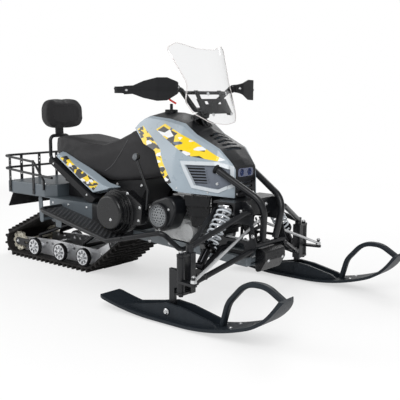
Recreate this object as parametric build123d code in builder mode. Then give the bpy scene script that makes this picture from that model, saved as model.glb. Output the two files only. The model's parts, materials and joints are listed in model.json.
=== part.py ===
from build123d import *
import os
from math import atan2, cos, degrees, radians, sin

os.makedirs("parts", exist_ok=True)

# Driving dimensions in millimetres: X forward, Y left, Z up, ground at Z = 0
LENGTH = 2000
STANCE = 900
SEAM = 0.3

# Track, its wheels and rails
TRACK_WIDTH = 320
BELT = 8
LUG_HEIGHT = 17
LUG_PITCH = 35
LUG_BASE = 15
LUG_TIP = 9
LUG_BAND = 58
IDLER_R = 51
BOGIE_R = 45
ROLLER_X, ROLLER_Z, ROLLER_R = -640, 236, 24
SPROCKET_X, SPROCKET_Z, SPROCKET_R = -150, 232, 56
TOE_X, TOE_R = -352, 60
AXLE_R = 8
RAIL_Y, RAIL_T = 95, 10

# Tunnel, deck and running boards
TUNNEL_HALF = 200
TUNNEL_TOP = 356
SHEET = 3
DECK_TOP = 418
DECK_HALF = 205
DECK_FRONT = -548
BOARD_OUT = 330
BOARD_REAR_X, BOARD_REAR_Z = -475, 322
BOARD_LOW_X, BOARD_LOW_Z = -10, 232
FOOT_TUBE_R = 11
FRAME_Y, FRAME_W, FRAME_H = 120, 30, 36
RACK_R = 6
STRAP_W, STRAP_T, STRAP_HOLE = 16, 4, 4

# Steering
RAKE_FOOT_X, RAKE_FOOT_Z = 510, 288
RAKE_HEAD_X, RAKE_HEAD_Z = 245, 780
POST_R = 14
KING_X, KING_Y = 515, 445
KING_R = 9
ARM_REACH, ARM_SIDE = 75, 14
ARM_Z, ARM_T = 160, 10
EYE_LIFT, EYE_BORE = 22, 7.8
SKI_X, SKI_Z = 480, 49
SKI_HALF = 60
SKI_T = 12
BAR_R = 11
GRIP_R = 17

TREAD = BELT + LUG_HEIGHT
REAR_X = -LENGTH / 2
TIP_X = LENGTH / 2
SKI_Y = STANCE / 2
IDLER_X = REAR_X + TREAD + IDLER_R
IDLER_Z = TREAD + IDLER_R
BOGIE_Z = TREAD + BOGIE_R
TUNNEL_REAR = REAR_X + 128
DECK_REAR = REAR_X + 112
RACK_REAR = REAR_X + 94


# A place along the ground run of the track, from its toe at 0 to the rear idler at 1
def run_x(share):
    return TOE_X + share * (IDLER_X - TOE_X)


BOGIE_X = [run_x(share) for share in (0.713, 0.355, 0.049)]
RAIL_HOLES_X = [run_x(share) for share in (0.87, 0.79, 0.635, 0.556, 0.451, 0.259, 0.154)]


# A round bar or tube bent along a run of points
def tube(points, radius, bend=0):
    with BuildPart() as pipe:
        with BuildLine() as path:
            if len(points) > 2:
                FilletPolyline(*points, radius=bend)
            else:
                Line(*points)
        with BuildSketch(Plane(origin=path.line @ 0, z_dir=path.line % 0)):
            Circle(radius)
        sweep()
    return pipe.part


# A flat piece with an outline drawn on a plane, its corners rounded
def slab(outline, plane, thickness, corner=0, both=False, taper=0):
    with BuildPart() as sheet:
        with BuildSketch(plane):
            with BuildLine():
                FilletPolyline(*outline, radius=corner, close=True)
            make_face()
        extrude(amount=thickness, both=both, taper=taper)
    return sheet.part


# The upright plane at a distance to the right of the middle, seen from the right
def side(distance):
    return Plane.XZ.offset(distance)


def save(builder, node):
    builder.part.label = node
    export_step(builder.part, f"parts/{node}.step")


# Track: one closed belt round its wheels, with staggered rows of lugs
WRAP = (
    (IDLER_X, IDLER_Z, IDLER_R),
    (ROLLER_X, ROLLER_Z, ROLLER_R),
    (SPROCKET_X, SPROCKET_Z, SPROCKET_R),
    (TOE_X, TREAD + TOE_R, TOE_R),
)

with BuildSketch() as loop:
    for wheel_x, wheel_z, wheel_r in WRAP:
        with Locations((wheel_x, wheel_z)):
            Circle(wheel_r)
    make_hull()

with BuildSketch() as belt_face:
    add(loop.sketch)
    offset(amount=BELT)

belt_edge = belt_face.sketch.face().outer_wire()
lug_count = round(belt_edge.length / LUG_PITCH)
lug_start = belt_edge.param_at_point((REAR_X + LUG_HEIGHT, IDLER_Z))
belt_middle = belt_face.sketch.face().center()


# Places of the lugs along the belt, each turned so that its Y points outward
def lug_places(phase):
    places = []
    for i in range(lug_count):
        along = (lug_start + (i + phase) / lug_count) % 1
        point = belt_edge.position_at(along)
        run = belt_edge.tangent_at(along)
        turn = degrees(atan2(run.Y, run.X))
        away = Vector(-sin(radians(turn)), cos(radians(turn)), 0)
        if away.dot(point - belt_middle) < 0:
            turn += 180
        places.append(Location((point.X, point.Y, 0), (0, 0, turn)))
    return places


half_track = TRACK_WIDTH / 2
LUG_ROWS = (
    (-half_track, -LUG_BAND, 0),
    (-LUG_BAND, LUG_BAND, 0.5),
    (LUG_BAND, half_track, 0),
)
with BuildPart() as track:
    for row_right, row_left, phase in LUG_ROWS:
        with BuildSketch(side(-row_left)):
            add(belt_face.sketch)
            with Locations(*lug_places(phase)):
                Polygon(
                    (-LUG_BASE / 2, -BELT / 2),
                    (LUG_BASE / 2, -BELT / 2),
                    (LUG_TIP / 2, LUG_HEIGHT),
                    (-LUG_TIP / 2, LUG_HEIGHT),
                    align=None,
                )
            add(loop.sketch, mode=Mode.SUBTRACT)
        extrude(amount=row_left - row_right)
save(track, "track")

# Slide rails: two plates that follow the inside of the belt
RAIL_TOP = (
    (IDLER_X + 19, 0),
    (-200, 0),
    (-246, 152),
    (-330, 106),
    (run_x(0.503), 113),
    (IDLER_X + 19, 98),
)
with BuildPart() as slide_rails:
    with BuildSketch(side(RAIL_Y - RAIL_T / 2)):
        add(loop.sketch)
        offset(amount=-SEAM)
        Polygon(*RAIL_TOP, align=None, mode=Mode.INTERSECT)
        with Locations(*[(x, BOGIE_Z) for x in BOGIE_X]):
            Circle(AXLE_R + SEAM, mode=Mode.SUBTRACT)
        with Locations(*[(x, 88) for x in RAIL_HOLES_X]):
            Rectangle(16, 11, mode=Mode.SUBTRACT)
    extrude(amount=RAIL_T)
    mirror(about=Plane.XZ)
save(slide_rails, "slide_rails")

# Bogie wheels: three axles, each with two spoked wheels outside the rails
WHEEL_Y, WHEEL_T = 134, 20
RIM_R = BOGIE_R - 6
with BuildPart() as bogie_wheels:
    for x in BOGIE_X:
        with BuildSketch(side(WHEEL_Y)):
            with Locations((x, BOGIE_Z)):
                Circle(RIM_R - SEAM)
                with PolarLocations(25, 8):
                    Rectangle(17, 12, mode=Mode.SUBTRACT)
        extrude(amount=WHEEL_T)
        with BuildSketch(side(0)):
            with Locations((x, BOGIE_Z)):
                Circle(AXLE_R)
        extrude(amount=WHEEL_Y + WHEEL_T + 4)
        with BuildSketch(side(RAIL_Y + RAIL_T / 2 + SEAM)):
            with Locations((x, BOGIE_Z)):
                Circle(15)
        extrude(amount=WHEEL_Y - RAIL_Y - RAIL_T / 2)
    mirror(about=Plane.XZ)
save(bogie_wheels, "bogie_wheels")

with BuildPart() as bogie_tyres:
    with BuildSketch(side(WHEEL_Y)):
        with Locations(*[(x, BOGIE_Z) for x in BOGIE_X]):
            Circle(BOGIE_R - SEAM)
            Circle(RIM_R, mode=Mode.SUBTRACT)
    extrude(amount=WHEEL_T)
    mirror(about=Plane.XZ)
save(bogie_tyres, "bogie_tyres")

# Rear idlers with their axle and the tensioner arms that hold it
IDLER_Y, IDLER_T = 104, 18
TENSION_Y, TENSION_T = 124, 7
with BuildPart() as rear_idlers:
    with BuildSketch(side(IDLER_Y)):
        with Locations((IDLER_X, IDLER_Z)):
            Circle(IDLER_R - SEAM)
            with PolarLocations(IDLER_R, 9):
                Rectangle(18, 14, mode=Mode.SUBTRACT)
            with PolarLocations(30, 6):
                Circle(7, mode=Mode.SUBTRACT)
    extrude(amount=IDLER_T)
    with BuildSketch(side(0)):
        with Locations((IDLER_X, IDLER_Z)):
            Circle(AXLE_R)
    extrude(amount=TENSION_Y - SEAM)
    mirror(about=Plane.XZ)
save(rear_idlers, "rear_idlers")

with BuildPart() as track_tensioners:
    with BuildSketch(side(TENSION_Y)):
        with Locations((IDLER_X, IDLER_Z), (BOGIE_X[0], BOGIE_Z)):
            Circle(20)
        make_hull()
        with Locations((BOGIE_X[0], BOGIE_Z)):
            Circle(15 + SEAM, mode=Mode.SUBTRACT)
        with Locations(((IDLER_X + BOGIE_X[0]) / 2, IDLER_Z - 2)):
            SlotOverall(60, 12, mode=Mode.SUBTRACT)
    extrude(amount=TENSION_T)
    mirror(about=Plane.XZ)
save(track_tensioners, "track_tensioners")

# Return rollers on an axle hung from the tunnel by two straps
HANGER_Y, HANGER_T = 185, 5
with BuildPart() as return_rollers:
    with BuildSketch(side(88)):
        with Locations((ROLLER_X, ROLLER_Z)):
            Circle(ROLLER_R - SEAM)
    extrude(amount=24)
    with BuildSketch(side(0)):
        with Locations((ROLLER_X, ROLLER_Z)):
            Circle(AXLE_R)
    extrude(amount=HANGER_Y + 2)
    with BuildSketch(side(HANGER_Y)):
        with Locations((ROLLER_X, ROLLER_Z), (ROLLER_X - 8, TUNNEL_TOP - SHEET - SEAM - 14)):
            Circle(14)
        make_hull()
    extrude(amount=HANGER_T)
    mirror(about=Plane.XZ)
save(return_rollers, "return_rollers")

# Drive axle with two toothed sprockets inside the belt
with BuildPart() as drive_axle:
    with BuildSketch(side(52)):
        with Locations((SPROCKET_X, SPROCKET_Z)):
            Circle(SPROCKET_R - SEAM)
            with PolarLocations(SPROCKET_R, 9):
                Circle(9, mode=Mode.SUBTRACT)
    extrude(amount=28)
    with BuildSketch(side(0)):
        with Locations((SPROCKET_X, SPROCKET_Z)):
            Circle(14)
    extrude(amount=TUNNEL_HALF - SHEET - SEAM)
    mirror(about=Plane.XZ)
save(drive_axle, "drive_axle")

# Swing arms between the tunnel and the rails, one frame at the rear, one at the front
SWING_R = 10
SWING_ARMS = (
    (-495, 228, run_x(0.794), 118),
    (-262, 240, run_x(0.175), 122),
)
with BuildPart() as swing_arms:
    for head_x, head_z, foot_x, foot_z in SWING_ARMS:
        add(tube([(head_x, -TUNNEL_HALF + SHEET + SEAM, head_z), (head_x, 0, head_z)], SWING_R))
        add(tube([(head_x, -72, head_z), (foot_x, -72, foot_z)], SWING_R))
        add(tube([(foot_x, -RAIL_Y + RAIL_T / 2 + SEAM, foot_z - 18), (foot_x, 0, foot_z - 18)], SWING_R))
        add(tube([(foot_x, -72, foot_z - 18), (foot_x, -72, foot_z)], SWING_R))
    mirror(about=Plane.XZ)
save(swing_arms, "swing_arms")

# Tunnel: an inverted channel with a front wall and ears for the swing arms
WALL = (
    (-560, TUNNEL_TOP),
    (-560, 318),
    (-530, 312),
    (-515, 214),
    (-478, 214),
    (-462, 312),
    (-285, 280),
    (-270, 226),
    (-240, 226),
    (-45, 214),
    (-45, TUNNEL_TOP),
)
with BuildPart() as tunnel:
    add(slab(WALL, side(TUNNEL_HALF - SHEET), SHEET))
    with BuildSketch(Plane.XY.offset(TUNNEL_TOP - SHEET)):
        with BuildLine():
            Polyline((TUNNEL_REAR, 0), (TUNNEL_REAR, -TUNNEL_HALF), (-45, -TUNNEL_HALF), (-45, 0), close=True)
        make_face()
    extrude(amount=SHEET)
    with BuildSketch(Plane.YZ.offset(-45 - SHEET)):
        with BuildLine():
            Polyline((0, 214), (-TUNNEL_HALF, 214), (-TUNNEL_HALF, TUNNEL_TOP), (0, TUNNEL_TOP), close=True)
        make_face()
    extrude(amount=SHEET)
    mirror(about=Plane.XZ)
save(tunnel, "tunnel")

# Cargo deck: an upside-down tray on the rear of the tunnel
with BuildPart() as cargo_deck:
    with BuildSketch(Plane.XY.offset(TUNNEL_TOP + SEAM)):
        with BuildLine():
            Polyline(
                (DECK_REAR, -DECK_HALF),
                (DECK_FRONT - 45, -DECK_HALF),
                (DECK_FRONT, -DECK_HALF + 45),
                (DECK_FRONT, DECK_HALF - 45),
                (DECK_FRONT - 45, DECK_HALF),
                (DECK_REAR, DECK_HALF),
                close=True,
            )
        make_face()
    extrude(amount=DECK_TOP - TUNNEL_TOP - SEAM)
    fillet(cargo_deck.faces().sort_by(Axis.Z)[-1].edges(), 6)
    offset(amount=-SHEET, openings=cargo_deck.faces().sort_by(Axis.Z)[0])
save(cargo_deck, "cargo_deck")

# Cargo rack: two bent rails on perforated straps round the deck
RACK_Y = DECK_HALF + STRAP_T + RACK_R
RACK_FOOT_X = -585
RAILS = (
    ((RACK_FOOT_X, 440), (-660, 528), (RACK_REAR, 546)),
    ((-520, 458), (-640, 464), (RACK_REAR, 482)),
)
SIDE_STRAPS = (RACK_REAR + 38, RACK_REAR + 0.642 * (DECK_FRONT - RACK_REAR))
REAR_STRAPS = (-118, 0, 118)
with BuildPart() as cargo_rack:
    for foot, knee, rear in RAILS:
        add(
            tube(
                [
                    (foot[0], -RACK_Y, foot[1]),
                    (knee[0], -RACK_Y, knee[1]),
                    (rear[0], -RACK_Y, rear[1]),
                    (rear[0], RACK_Y, rear[1]),
                    (knee[0], RACK_Y, knee[1]),
                    (foot[0], RACK_Y, foot[1]),
                ],
                RACK_R,
                30,
            )
        )
    for x in SIDE_STRAPS:
        top = 528 + (x + 660) * 18 / (RACK_REAR + 660)
        for edge in (-DECK_HALF - SEAM, DECK_HALF + STRAP_T + SEAM):
            with BuildSketch(side(-edge)):
                with Locations((x, (TUNNEL_TOP + top) / 2 + 6)):
                    Rectangle(STRAP_W, top - TUNNEL_TOP)
                with Locations(*[(x, z) for z in (386, 436, 500, 520)]):
                    Circle(STRAP_HOLE, mode=Mode.SUBTRACT)
            extrude(amount=STRAP_T)
    for y in REAR_STRAPS:
        with BuildSketch(Plane.YZ.offset(DECK_REAR - STRAP_T - SEAM)):
            with Locations((y, (TUNNEL_TOP + 546) / 2 + 3)):
                Rectangle(STRAP_W, 546 - TUNNEL_TOP)
            with Locations(*[(y, z) for z in (386, 446, 506, 524)]):
                Circle(STRAP_HOLE, mode=Mode.SUBTRACT)
        extrude(amount=STRAP_T)
    for y in REAR_STRAPS:
        for z in (482, 546):
            add(tube([(RACK_REAR, y, z), (DECK_REAR - STRAP_T / 2, y, z)], RACK_R - 1))
    for y in (-RACK_Y, RACK_Y):
        add(tube([(RACK_FOOT_X, y, 440), (RACK_FOOT_X, y, 392)], RACK_R))
save(cargo_rack, "cargo_rack")

# Mud flap hung from the tail of the tunnel
FLAP_TOP = TUNNEL_TOP - SHEET - SEAM
with BuildPart() as mud_flap:
    flap = [(4, FLAP_TOP), (10, FLAP_TOP), (-32, 278), (-38, 280)]
    add(slab([(TUNNEL_REAR + x, z) for x, z in flap], side(0), 194, both=True))
save(mud_flap, "mud_flap")

# Running boards with their edge tubes
BOARD_T = 4
with BuildPart() as running_boards:
    board = (
        (BOARD_REAR_X, BOARD_REAR_Z),
        (BOARD_LOW_X, BOARD_LOW_Z),
        (70, 252),
        (70, 252 + BOARD_T),
        (BOARD_LOW_X, BOARD_LOW_Z + BOARD_T),
        (BOARD_REAR_X, BOARD_REAR_Z + BOARD_T),
    )
    add(slab(board, side(TUNNEL_HALF + SEAM), BOARD_OUT - TUNNEL_HALF - SEAM))
    add(
        tube(
            [
                (BOARD_REAR_X, -TUNNEL_HALF - SEAM, BOARD_REAR_Z),
                (BOARD_REAR_X, -BOARD_OUT, BOARD_REAR_Z),
                (BOARD_LOW_X, -BOARD_OUT, BOARD_LOW_Z),
                (252, -262, 292),
                (290, -190, 212),
                (290, -FRAME_Y - FRAME_W / 2 - SEAM, 212),
            ],
            FOOT_TUBE_R,
            36,
        )
    )
    mirror(about=Plane.XZ)
save(running_boards, "running_boards")

# Drive covers: stepped round housings beside the tunnel
COVER_X, COVER_Z = -38, 348
COVER_STEPS = ((100, 48), (94, 12), (88, 12), (80, 28))
with BuildPart() as drive_covers:
    reach = TUNNEL_HALF + SEAM
    for radius, depth in COVER_STEPS:
        with BuildSketch(side(reach)):
            with Locations((COVER_X, COVER_Z)):
                Circle(radius)
        extrude(amount=depth)
        reach += depth
    fillet(drive_covers.faces().sort_by(Axis.Y)[0].edges(), 14)
    case = ((-30, 300), (110, 300), (118, 392), (20, 448), (-30, 440))
    add(slab(case, side(TUNNEL_HALF + SEAM), 44, 20))
    mirror(about=Plane.XZ)
save(drive_covers, "drive_covers")

# Lower frame: two box rails with cross members and a belly plate
FRAME_REAR, FRAME_FRONT = -44.7, 600
FRAME_REAR_Z, FRAME_FRONT_Z = 213, 176


def frame_z(x):
    return FRAME_REAR_Z + (FRAME_FRONT_Z - FRAME_REAR_Z) * (x - FRAME_REAR) / (FRAME_FRONT - FRAME_REAR)


with BuildPart() as lower_frame:
    rail = (
        (FRAME_REAR, FRAME_REAR_Z),
        (FRAME_FRONT, FRAME_FRONT_Z),
        (FRAME_FRONT, FRAME_FRONT_Z + FRAME_H),
        (FRAME_REAR, FRAME_REAR_Z + FRAME_H),
    )
    add(slab(rail, side(FRAME_Y - FRAME_W / 2), FRAME_W))
    for x in (FRAME_REAR + 14, 300, FRAME_FRONT - 14):
        add(tube([(x, -FRAME_Y, frame_z(x) + 18), (x, 0, frame_z(x) + 18)], 13))
    belly = (
        (FRAME_REAR, FRAME_REAR_Z),
        (FRAME_FRONT, FRAME_FRONT_Z),
        (FRAME_FRONT, FRAME_FRONT_Z + SHEET),
        (FRAME_REAR, FRAME_REAR_Z + SHEET),
    )
    add(slab(belly, side(0), FRAME_Y))
    mirror(about=Plane.XZ)
save(lower_frame, "lower_frame")

# Front subframe: two pierced side plates with a shock tower across the top
PLATE_Y, PLATE_T = 106, 6
TOWER_Z = 438
TOWER_HALF = 166
TOWER_FRONT = 558
post_run = Vector(RAKE_HEAD_X - RAKE_FOOT_X, 0, RAKE_HEAD_Z - RAKE_FOOT_Z)
post_plane = Plane(origin=(RAKE_FOOT_X, 0, RAKE_FOOT_Z), x_dir=(post_run.Z, 0, -post_run.X), z_dir=post_run)
with BuildPart() as front_subframe:
    cheek = (
        (442, frame_z(442) + FRAME_H + SEAM),
        (598, frame_z(598) + FRAME_H + SEAM),
        (632, 262),
        (612, 330),
        (606, 412),
        (575, TOWER_Z),
        (440, TOWER_Z),
        (420, 395),
        (430, 300),
    )
    with BuildSketch(side(PLATE_Y)):
        Polygon(*cheek, align=None)
        with Locations((525, 250)):
            RectangleRounded(90, 34, 12, mode=Mode.SUBTRACT)
        with Locations((530, 311)):
            RectangleRounded(136, 66, 14, mode=Mode.SUBTRACT)
        with Locations((508, 388)):
            RectangleRounded(80, 48, 14, mode=Mode.SUBTRACT)
    extrude(amount=PLATE_T)
    roof = ((450, TOWER_Z - 8), (TOWER_FRONT, TOWER_Z - 8), (TOWER_FRONT, TOWER_Z), (450, TOWER_Z))
    add(slab(roof, side(0), TOWER_HALF))
    face = ((TOWER_FRONT - 6, 372), (TOWER_FRONT, 372), (TOWER_FRONT, TOWER_Z), (TOWER_FRONT - 6, TOWER_Z))
    add(slab(face, side(0), TOWER_HALF))
    add(tube([(622, -PLATE_Y - PLATE_T, 262), (622, 0, 262)], 9))
    add(tube([(455, -PLATE_Y - PLATE_T, 312), (455, 0, 312)], 9))
    mirror(about=Plane.XZ)
    with BuildSketch(post_plane.offset(138)):
        Circle(POST_R + 10)
        with Locations((22, 0)):
            Rectangle(44, 44)
        Circle(POST_R + SEAM, mode=Mode.SUBTRACT)
    extrude(amount=30)
save(front_subframe, "front_subframe")

# Engine: crankcase, finned cylinder and a round cover, in the bay behind the subframe
FINS = 7
with BuildPart() as engine:
    add(slab([(96, 248), (340, 236), (346, 300), (300, 336), (110, 336)], side(-120), 262, 14))
    with BuildSketch(side(142)):
        with Locations((312, 288)):
            Circle(42)
    extrude(amount=34, taper=8)
    with BuildSketch(Plane.XY.offset(330)):
        with Locations((205, 0)):
            RectangleRounded(96, 120, 12)
    extrude(amount=108)
    for i in range(FINS):
        with BuildSketch(Plane.XY.offset(346 + i * 13)):
            with Locations((205, 0)):
                RectangleRounded(128, 156, 16)
        extrude(amount=5)
    for x in (120, 240):
        foot = [(run, frame_z(run) + SHEET + SEAM) for run in (x, x + 30)]
        add(slab([*foot, (x + 30, 252), (x, 252)], side(0), 70, both=True))
save(engine, "engine")

# Fan shroud on the right of the engine, with a round pierced grille
FAN_X, FAN_Z, FAN_R = 198, 354, 70
GRILLE_RINGS = ((14, 6), (26, 12), (38, 18))
with BuildPart() as fan_shroud:
    with BuildSketch(side(142 + SEAM)):
        with Locations((FAN_X, FAN_Z)):
            Circle(FAN_R)
        with Locations((FAN_X + 40, FAN_Z + 34)):
            Circle(50)
        make_hull()
    extrude(amount=78)
    fillet(fan_shroud.faces().sort_by(Axis.Y)[0].edges(), 12)
    with BuildSketch(side(142 + SEAM + 78)):
        with Locations((FAN_X, FAN_Z)):
            Circle(56)
    extrude(amount=12, taper=12)
    with BuildSketch(side(142 + SEAM + 90)):
        with Locations((FAN_X, FAN_Z)):
            Circle(46)
    extrude(amount=-10, mode=Mode.SUBTRACT)
    with BuildSketch(side(142 + SEAM + 80)):
        with Locations((FAN_X, FAN_Z)):
            for ring_r, holes in GRILLE_RINGS:
                with PolarLocations(ring_r, holes):
                    Circle(3.4)
    extrude(amount=-14, mode=Mode.SUBTRACT)
save(fan_shroud, "fan_shroud")

# Ribbed lower side panels, three overlapping slats each
SLATS = ((318, 362), (360, 404), (402, 446))
with BuildPart() as belly_panels:
    for low, high in SLATS:
        with BuildSketch(Plane.YZ.offset(280)):
            Polygon((-184, low), (-190, low), (-180, high), (-170, high), align=None)
        extrude(amount=170, dir=(150, 58, 0))
    for x, y in ((330, -158), (390, -135)):
        add(tube([(x, y, 318), (x, y, 448)], 7))
    with BuildSketch(side(100)):
        Polygon((344, 300), (405, 320), (405, 460), (292, 460), align=None)
    extrude(amount=120, mode=Mode.INTERSECT)
    foot_z = frame_z(372) + FRAME_H / 2
    add(tube([(372, -150, 330), (372, -142, foot_z), (372, -FRAME_Y - FRAME_W / 2 - SEAM, foot_z)], 7, 5))
    mirror(about=Plane.XZ)
save(belly_panels, "belly_panels")

# Hood: flat-sided sections along X, each row the half section from crown to lower edge
HOOD = (
    # x, crown, edge y, edge z, shoulder y, shoulder z, waist y, waist z, low y, low z
    (-50, 770, 88, 762, 106, 748, 116, 722, 122, 700),
    (40, 790, 94, 772, 112, 764, 146, 668, 172, 590),
    (150, 788, 96, 762, 114, 752, 172, 616, 190, 500),
    (240, 772, 96, 744, 114, 734, 178, 590, 192, 466),
    (300, 730, 94, 700, 112, 690, 172, 580, 190, 460),
    (420, 650, 90, 645, 100, 640, 122, 565, 134, 452),
    (468, 604, 78, 594, 84, 588, 98, 545, 106, 447),
    (492, 574, 68, 570, 71, 562, 76, 520, 80, 443),
)
HOOD_T = 4
FRAME_RISE, FRAME_RIM = 5, 14
NOSE_REAR, NOSE_FRONT, NOSE_LOW = 482, 491, 444


# The solid hood, pulled in by a wall thickness and let down at its lower edge
def hood_form(inset, drop):
    with BuildPart() as form:
        for x, crown, edge_y, edge_z, sh_y, sh_z, waist_y, waist_z, low_y, low_z in HOOD:
            half = (
                (edge_y, edge_z - inset),
                (sh_y - inset / 2, sh_z - inset),
                (waist_y - inset, waist_z - inset / 2),
                (low_y - inset, low_z - drop),
            )
            with BuildSketch(Plane.YZ.offset(x)):
                Polygon(
                    (0, crown - inset),
                    *half,
                    *[(-y, z) for y, z in reversed(half)],
                    align=None,
                )
        loft(ruled=True)
    return form.part


CENTRE_STRIP = ((-80, 85), (40, 92), (240, 94), (300, 92), (420, 88), (468, 76), (560, 58))
REAR_EDGE = (
    (-150, 900),
    (30, 900),
    (24, 769),
    (-21, 740),
    (-43, 716),
    (40, 652),
    (122, 624),
    (172, 538),
    (205, 500),
    (249, 469),
    (256, 380),
    (-150, 380),
)
INTAKE = ((301, 577), (347, 494), (440, 478), (482, 500), (474, 562), (430, 577))


# The side opening of the hood, grown all round by a margin, as a prism to the right
def intake_prism(margin):
    with BuildPart() as prism:
        with BuildSketch(side(40)):
            Polygon(*INTAKE, align=None)
            if margin:
                offset(amount=margin, kind=Kind.INTERSECTION)
        extrude(amount=300)
    return prism.part


# Front bumper: two bent tubes from the hood down to the skid cap
BUMPER_R = 14
BUMPER = ((424, -114, 562), (640, -71, 432), (616, -46, 274.5))
with BuildPart() as front_bumper:
    add(tube(BUMPER, BUMPER_R, 90))
    mirror(about=Plane.XZ)
save(front_bumper, "front_bumper")

with BuildPart() as bumper_holes:
    add(tube(BUMPER, BUMPER_R + 2, 90))
    mirror(about=Plane.XZ)


# The middle strip of the hood between the two side shells, widened by a margin
def centre_strip(margin):
    run = [(x, y + margin) for x, y in CENTRE_STRIP]
    return slab([*run, *[(x, -y) for x, y in reversed(run)]], Plane.XY.offset(300), 700)


with BuildPart() as hood_shell:
    add(hood_form(0, 0))
    add(hood_form(HOOD_T, 60), mode=Mode.SUBTRACT)

# Raised frames round the two intakes
with BuildPart() as intake_frames:
    add(hood_form(-FRAME_RISE, 0))
    add(hood_form(HOOD_T / 2, 60), mode=Mode.SUBTRACT)
    add(intake_prism(FRAME_RIM), mode=Mode.INTERSECT)
    add(intake_prism(0), mode=Mode.SUBTRACT)
    with Locations((NOSE_REAR + 190, 0, 500)):
        Box(400, 600, 800, mode=Mode.SUBTRACT)
    mirror(about=Plane.XZ)

with BuildPart() as hood_sides:
    add(hood_shell.part)
    add(centre_strip(SEAM), mode=Mode.SUBTRACT)
    add(slab(REAR_EDGE, side(-400), 800), mode=Mode.SUBTRACT)
    add(intake_prism(0), mode=Mode.SUBTRACT)
    add(mirror(intake_prism(0), about=Plane.XZ, mode=Mode.PRIVATE), mode=Mode.SUBTRACT)
    add(intake_frames.part)
    add(bumper_holes.part, mode=Mode.SUBTRACT)
save(hood_sides, "hood_sides")

TOP_REAR = 20
CAP_X, CAP_R = 72, 29
POST_HOLE_X, POST_HOLE_R = 250, 46
LOUVRES_X = (338, 360, 382, 404, 426)
with BuildPart() as hood_top:
    add(hood_shell.part)
    add(centre_strip(0), mode=Mode.INTERSECT)
    with Locations((TOP_REAR - 200, 0, 600)):
        Box(400, 600, 800, mode=Mode.SUBTRACT)
    with BuildSketch(Plane.XY.offset(600)):
        with Locations((POST_HOLE_X, 0)):
            Circle(POST_HOLE_R)
        with Locations((CAP_X, 0)):
            Circle(CAP_R + SEAM)
        with Locations(*[(x, 0) for x in LOUVRES_X]):
            SlotOverall(104, 11, rotation=90)
    extrude(amount=300, mode=Mode.SUBTRACT)
save(hood_top, "hood_top")

# Nose panel: the upright front wall with slots below the headlight
LAMP_Z, LAMP_W, LAMP_H = 546, 108, 36
with BuildPart() as nose_panel:
    with BuildSketch(Plane.YZ.offset(NOSE_REAR)):
        with Locations((0, NOSE_LOW + 200)):
            Rectangle(300, 400)
        with Locations((0, LAMP_Z)):
            RectangleRounded(LAMP_W, LAMP_H, 12, mode=Mode.SUBTRACT)
        with Locations((0, 466), (0, 484), (0, 502)):
            SlotOverall(104, 9, mode=Mode.SUBTRACT)
    extrude(amount=NOSE_FRONT - NOSE_REAR)
    add(hood_form(HOOD_T + SEAM, 60), mode=Mode.INTERSECT)
save(nose_panel, "nose_panel")

with BuildPart() as headlight:
    with BuildSketch(Plane.YZ.offset(NOSE_REAR - 14)):
        with Locations((0, LAMP_Z)):
            RectangleRounded(LAMP_W - 2 * SEAM, LAMP_H - 2 * SEAM, 12 - SEAM)
    extrude(amount=24)
    with BuildSketch(Plane.YZ.offset(NOSE_REAR + 10)):
        with Locations((-27, LAMP_Z), (27, LAMP_Z)):
            Circle(15)
    extrude(amount=-9, taper=22, mode=Mode.SUBTRACT)
    with Locations((NOSE_REAR + 2, -27, LAMP_Z), (NOSE_REAR + 2, 27, LAMP_Z)):
        Sphere(5, rotation=(35, 20, 0))
save(headlight, "headlight")

FINS_Z = (507, 519, 531, 543, 555)
with BuildPart() as intake_fins:
    with BuildSketch(side(40)):
        with Locations(*[(352 + 0.35 * (531 - z), z) for z in FINS_Z]):
            Rectangle(84, 4.5)
    extrude(amount=300)
    add(hood_form(1, 60), mode=Mode.INTERSECT)
    add(hood_form(HOOD_T + 1, 60), mode=Mode.SUBTRACT)
    add(intake_prism(-4), mode=Mode.INTERSECT)

with BuildPart() as intake_panels:
    add(hood_form(HOOD_T + SEAM, 60))
    add(hood_form(2 * HOOD_T, 60), mode=Mode.SUBTRACT)
    add(intake_prism(8), mode=Mode.INTERSECT)
    add(intake_fins.part)
    mirror(about=Plane.XZ)
    add(bumper_holes.part, mode=Mode.SUBTRACT)
    with Locations((NOSE_REAR + 200, 0, 500)):
        Box(400 + 2 * SEAM, 600, 800, mode=Mode.SUBTRACT)
save(intake_panels, "intake_panels")

# Fuel cap with its key
with BuildPart() as fuel_cap:
    with BuildSketch(Plane.XY.offset(776)):
        with Locations((CAP_X, 0)):
            Circle(CAP_R)
    extrude(amount=24)
    with BuildSketch(Plane.XY.offset(800)):
        with Locations((CAP_X, 0)):
            Circle(7)
    extrude(amount=26)
save(fuel_cap, "fuel_cap")

# Skid cap: the rounded nose block in front of the lower frame
with BuildPart() as skid_cap:
    add(slab([(600 + SEAM, 142), (626, 150), (652, 196), (650, 232), (628, 246), (600 + SEAM, 243)],
             side(0), 74, 10, both=True))
save(skid_cap, "skid_cap")

# Suspension arms, shocks and springs of the skis
LINK_R = 11
SHOCK_X = 512
UPRIGHT_Y = 395
with BuildPart() as upper_arms:
    add(tube([(594, -PLATE_Y - PLATE_T - SEAM, 396), (594, -148, 396), (518, -UPRIGHT_Y, 290)], LINK_R, 30))
    add(tube([(440, -PLATE_Y - PLATE_T - SEAM, 396), (440, -136, 396), (514, -UPRIGHT_Y, 290)], LINK_R, 10))
    with BuildSketch(Plane.XY.offset(270 + SEAM)):
        with Locations((516, -UPRIGHT_Y)):
            Circle(15)
    extrude(amount=32)
    mirror(about=Plane.XZ)
save(upper_arms, "upper_arms")

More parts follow.
